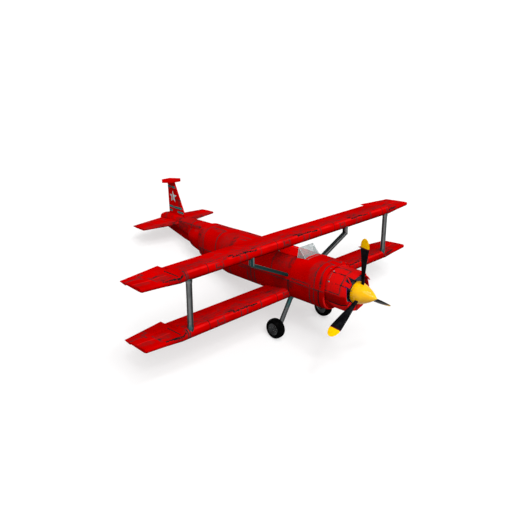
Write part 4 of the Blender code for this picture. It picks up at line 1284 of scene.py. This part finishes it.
# A dial is its x, z and radius on the panel's rear face
PANEL_REAR = 0.1205
DIALS = ((-0.24, 0.235, 0.046), (-0.12, 0.250, 0.052), (0.0, 0.250, 0.060), (0.12, 0.250, 0.052),
         (0.24, 0.235, 0.046), (-0.10, 0.140, 0.036), (0.0, 0.135, 0.036), (0.10, 0.140, 0.036))
BEZEL = ((0.0, 1.0), (0.010, 1.0), (0.012, 0.97), (0.012, 0.86), (0.004, 0.84), (0.0, 0.84))
AFT = Vector((0, 1, 0))


def instruments():
    """Dials on the panel's rear face: bezel, dark face, ivory ticks and a needle."""
    bezels, faces, marks = bmesh.new(), bmesh.new(), bmesh.new()
    for number, (x, z, r) in enumerate(DIALS):
        centre = Vector((x, PANEL_REAR, z))
        lathe(bezels, [(t, r * share) for t, share in BEZEL], centre, AFT, 32, True)
        lathe(faces, [(0.0, r * 0.85), (0.003, r * 0.85)], centre, AFT, 32)
        for k in range(11):
            out = outward(28 * k - 140)
            cross = AFT.cross(out) * 0.0012
            inner, outer = centre + out * r * 0.62, centre + out * r * 0.80
            tick = (inner - cross, inner + cross, outer + cross, outer - cross)
            plate(marks, [p + AFT * 0.0025 for p in tick], AFT, 0.0015)
        out = outward(37 * number - 120)
        cross = AFT.cross(out) * 0.0022
        needle = (-cross - out * 0.010, cross - out * 0.010, out * r * 0.66)
        plate(marks, [centre + AFT * 0.003 + p for p in needle], AFT, 0.0018)
    piece("dial_bezels", bezels, "steel")
    piece("dial_faces", faces, "seal")
    piece("dial_marks", marks, "ivory")


# Cockpit controls. The pedals' bar is given by its y and z
STICK_TOP = Vector((0, 0.390, 0.080))
STICK_GRIP = Vector((0, 0.4007, 0.018))
GRIP = ((0.0, 0.0165), (0.012, 0.021), (0.040, 0.020), (0.060, 0.0225), (0.080, 0.021), (0.088, 0.012))
BOOT = ((0.0, 0.060), (0.012, 0.055), (0.030, 0.034), (0.050, 0.020), (0.052, 0.016))
FLOOR_Z = -0.3295
PEDAL_X = 0.14
PEDAL_BAR = (-0.050, -0.160)
KNOB = ((-0.010, 0.004), (-0.006, 0.012), (0.006, 0.012), (0.010, 0.004))


def stick_fittings():
    """Grip on the control stick and the boot round its foot."""
    bm = bmesh.new()
    lathe(bm, GRIP, STICK_GRIP, STICK_TOP - STICK_GRIP, 20)
    lathe(bm, BOOT, (0, 0.430, FLOOR_Z), (0, 0, 1), 24)
    piece("stick_grip_and_boot", bm, "seal")


def rudder_pedals():
    """Two ribbed pedals on posts, joined by a bar."""
    bm = bmesh.new()
    rod(bm, [(-0.20, *PEDAL_BAR), (0.20, *PEDAL_BAR)], 0.012)
    for x in (-PEDAL_X, PEDAL_X):
        rod(bm, [(x, *PEDAL_BAR), (x, PEDAL_BAR[0], FLOOR_Z)], 0.010)
        block(bm, (x - 0.045, -0.062, -0.200), (x + 0.045, -0.046, -0.060), 0.004)
        for k in range(4):
            z = -0.085 - 0.030 * k
            block(bm, (x - 0.040, -0.0465, z - 0.004), (x + 0.040, -0.041, z + 0.004))
    piece("rudder_pedals", bm, "steel")


def throttle_quadrant():
    """Box on the port wall with two knobbed levers."""
    bm = bmesh.new()
    block(bm, (0.385, 0.240, 0.020), (0.430, 0.400, 0.110), 0.006)
    for y, lean in ((0.290, -0.03), (0.330, 0.0)):
        rod(bm, [(0.400, y, 0.100), (0.400, y + lean, 0.175)], 0.005, 8)
        lathe(bm, KNOB, (0.400, y + lean, 0.180), (1, 0, 0), 16)
    piece("throttle_quadrant", bm, "black")


def seat_harness():
    """Two shoulder straps lying on the seat's back."""
    bm = bmesh.new()
    for side in BOTH:
        x = side * 0.085
        ends = ((x, 1.078, 0.330), (x, 1.062, 0.220), (x, 1.028, 0.020), (x * 1.1, 1.001, -0.140))
        ends = [Vector(p) for p in ends]
        points = [a.lerp(b, t) for a, b in zip(ends, ends[1:]) for t in (0, 0.5)] + ends[-1:]
        strap(bm, points, [(0, -1, 0.17)] * len(points), 0.045, 0.003)
    piece("shoulder_straps", bm, "webbing")


# Seat cushion
PAD_INSET = Vector((0.012, 0.012, 0.006))
PAD_ROUNDING = 0.018
PAD_VOXEL = 0.006
PUFF_PRESSURE = 4
PUFF_FRAMES = 20
PUFF_LIMIT = 0.010
CROWN = 0.010
CHANNELS = (-0.5, 0.0, 0.5)
CHANNEL_HALF = 0.035
CHANNEL_DEPTH = 0.008
# The seat under the cushion slopes down to the rear
SEAT_ABOVE_LOW = 0.0143
SEAT_SLOPE = -0.0386


def settle(pad):
    """Gives the pad the mesh that its modifiers make."""
    graph = bpy.context.evaluated_depsgraph_get()
    done = bpy.data.meshes.new_from_object(pad.evaluated_get(graph))
    pad.modifiers.clear()
    pad.data = done


def pad_block(low, high):
    """Rounded block of fine voxels that fills the cushion's box."""
    bm = block(bmesh.new(), low + PAD_INSET, high - PAD_INSET)
    bmesh.ops.bevel(bm, geom=list(bm.edges), offset=PAD_ROUNDING, segments=3, affect="EDGES", profile=0.6)
    pad = place_object("seat_pad", mesh_from("seat_pad", bm))
    remesh = pad.modifiers.new("voxels", "REMESH")
    remesh.mode = "VOXEL"
    remesh.voxel_size = PAD_VOXEL
    settle(pad)
    return pad


def puff(pad):
    """Blows the pad up with a short cloth simulation."""
    cloth = pad.modifiers.new("puff", "CLOTH")
    cloth.settings.use_pressure = True
    cloth.settings.uniform_pressure_force = PUFF_PRESSURE
    cloth.settings.effector_weights.gravity = 0
    for number in range(1, PUFF_FRAMES + 1):
        bpy.context.scene.frame_set(number)
    settle(pad)
    bpy.context.scene.frame_set(1)


def quilt(pad, rest, low, high):
    """Limits the puffing, then crowns the top and presses the sewn channels into it."""
    middle = (low + high) / 2
    half = (high - low) / 2
    for v, at in zip(pad.data.vertices, rest):
        move = v.co - at
        if move.length > PUFF_LIMIT:
            move *= PUFF_LIMIT / move.length
        spot = at + move
        across = (spot.x - middle.x) / half.x
        along = (spot.y - middle.y) / half.y
        if spot.z > middle.z:
            crown = CROWN * max(0.0, 1 - across ** 2) * max(0.0, 1 - along ** 2)
            sewn = sum(math.exp(-((across - channel) / CHANNEL_HALF) ** 2) for channel in CHANNELS)
            spot.z += crown - CHANNEL_DEPTH * sewn
        spot.z = max(spot.z, low.z + SEAT_ABOVE_LOW + (spot.y - low.y) * SEAT_SLOPE)
        v.co = spot


def seat_pad():
    """Seat cushion puffed by a cloth simulation, then quilted by three sewn channels."""
    points = [LOCAL @ v.co for v in NODES["seat_cushion"].data.vertices]
    low, high = (Vector(pick(p[i] for p in points) for i in range(3)) for pick in (min, max))
    pad = pad_block(low, high)
    rest = [v.co.copy() for v in pad.data.vertices]
    puff(pad)
    quilt(pad, rest, low, high)
    smooth = pad.modifiers.new("fine", "SUBSURF")
    smooth.levels = smooth.render_levels = 1
    settle(pad)
    pad.data.transform(AIRFRAME)
    pad.data.materials.clear()
    pad.data.materials.append(MATERIALS["leather"])
    pad.data.shade_smooth()
    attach(pad, "airframe")
    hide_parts("seat_cushion")


# Windscreen
SCREEN_FOOT = ((-0.286, -0.112), (-0.238, -0.376), (0.238, -0.376), (0.286, -0.112))
SCREEN_TOP = 0.713
SCREEN_BOTTOM = 0.448
EDGING_RADIUS = 0.0045
SEAL_STEPS = 8


def screen_frame():
    """Seal round the windscreen's foot, and pale edging along its folds and its top and rear edges."""
    surface = Surface("fuselage")
    corners = [Vector((x, y, 1.0)) for x, y in SCREEN_FOOT]
    above = [a.lerp(b, k / SEAL_STEPS) for a, b in zip(corners, corners[1:]) for k in range(SEAL_STEPS)]
    points = [surface.hit(p, (0, 0, -1))[0] + Vector((0, 0, 0.002)) for p in above + corners[-1:]]
    piece("windscreen_seal", rod(bmesh.new(), points, 0.0055, 8), "steel", smooth=60)
    bm = bmesh.new()
    rod(bm, [(-0.242, -0.113, SCREEN_TOP), (0.242, -0.113, SCREEN_TOP)], EDGING_RADIUS, 8)
    for side in BOTH:
        for ends in (((0.240, -0.352), (0.242, -0.116)), ((0.285, -0.111), (0.242, -0.113))):
            heights = (SCREEN_BOTTOM, SCREEN_TOP)
            rod(bm, [(side * x, y, z) for (x, y), z in zip(ends, heights)], EDGING_RADIUS, 8)
    piece("windscreen_edging", bm, "alloy", smooth=60)


# Stage. A light is its name, the direction it comes from, how wide it is in degrees, and its strength
WORLD_LIGHT = 0.60
FLOOR_SIZE = 150
FLOOR_SEEN = (0.42, 0.42, 0.42)
FLOOR_GLOW = (0.56, 0.56, 0.56)
FLOOR_BOUNCE = (0.16, 0.145, 0.145)
LIGHTS = (("overhead", (-0.40, -0.50, 1.0), 50, 1.66), ("key", (-0.36, -0.46, 1.0), 9, 0.34),
          ("shine", (0.10, -0.16, 0.98), 9, 0.42))
# A soft lamp inside the cockpit lights its port wall, as the photograph shows it
COCKPIT_FILL_AT = (-0.240, 0.440, 0.300)
COCKPIT_FILL_SIZE = (0.16, 1.00)
COCKPIT_FILL_POWER = 9.0


def floor_finish():
    """Near white to the eye, and darker to the light that the floor throws back up."""
    g = Graph("pale_floor")
    bounced = g.node("LightPath", {}, "Is Diffuse Ray")
    g.put(g.shader.inputs["Emission Color"], g.mix(bounced, FLOOR_GLOW, (0.0, 0.0, 0.0)))
    colour = g.mix(bounced, FLOOR_SEEN, FLOOR_BOUNCE)
    return g.finish(colour, 0.9, Specular_IOR_Level=0.0, Emission_Strength=1.0)


def make_floor():
    """Plain pale floor under the wheels."""
    bm = bmesh.new()
    bmesh.ops.create_grid(bm, x_segments=1, y_segments=1, size=FLOOR_SIZE)
    floor = place_object("floor", mesh_from("floor", bm))
    floor.location.z = CAD_BOX[0].z
    floor.data.materials.append(floor_finish())


def make_sky():
    """White sky, brighter to the eye than the light that it gives."""
    world = bpy.data.worlds.new("studio")
    world.use_nodes = True
    nodes, links = world.node_tree.nodes, world.node_tree.links
    background = nodes["Background"]
    background.inputs["Color"].default_value = (1, 1, 1, 1)
    strength = nodes.new("ShaderNodeMapRange")
    strength.inputs["To Min"].default_value = WORLD_LIGHT
    strength.inputs["To Max"].default_value = 1.0
    links.new(nodes.new("ShaderNodeLightPath").outputs["Is Camera Ray"], strength.inputs["Value"])
    links.new(strength.outputs[0], background.inputs["Strength"])
    bpy.context.scene.world = world


def make_lights():
    """Soft light from above and in front, and the cockpit's lamp."""
    for name, towards, spread, power in LIGHTS:
        data = bpy.data.lights.new(name, "SUN")
        data.angle = math.radians(spread)
        data.energy = power
        place_object(name, data).rotation_euler = Vector(towards).to_track_quat("Z", "Y").to_euler()
    data = bpy.data.lights.new("cockpit_fill", "AREA")
    data.shape = "RECTANGLE"
    data.size, data.size_y = COCKPIT_FILL_SIZE
    data.energy = COCKPIT_FILL_POWER
    lamp = place_object("cockpit_fill", data)
    towards_port = Matrix.Rotation(math.radians(-90), 4, "Y")
    lamp.matrix_world = AIRFRAME @ Matrix.Translation(COCKPIT_FILL_AT) @ towards_port
    lamp.visible_camera = False


make_camera()
MATERIALS = make_materials()
dress_nodes()
fuselage_rivets()
wing_rivets()
tail_rivets()
fin_markings()
tyres()
hub_details()
strut_fittings()
gear_fittings()
cowl_details()
cowl_closing_strip()
spinner_details()
cockpit_rim()
cockpit_frames()
instruments()
stick_fittings()
rudder_pedals()
throttle_quadrant()
seat_harness()
seat_pad()
screen_frame()
make_floor()
make_sky()
make_lights()
bpy.context.scene.view_settings.view_transform = "Standard"
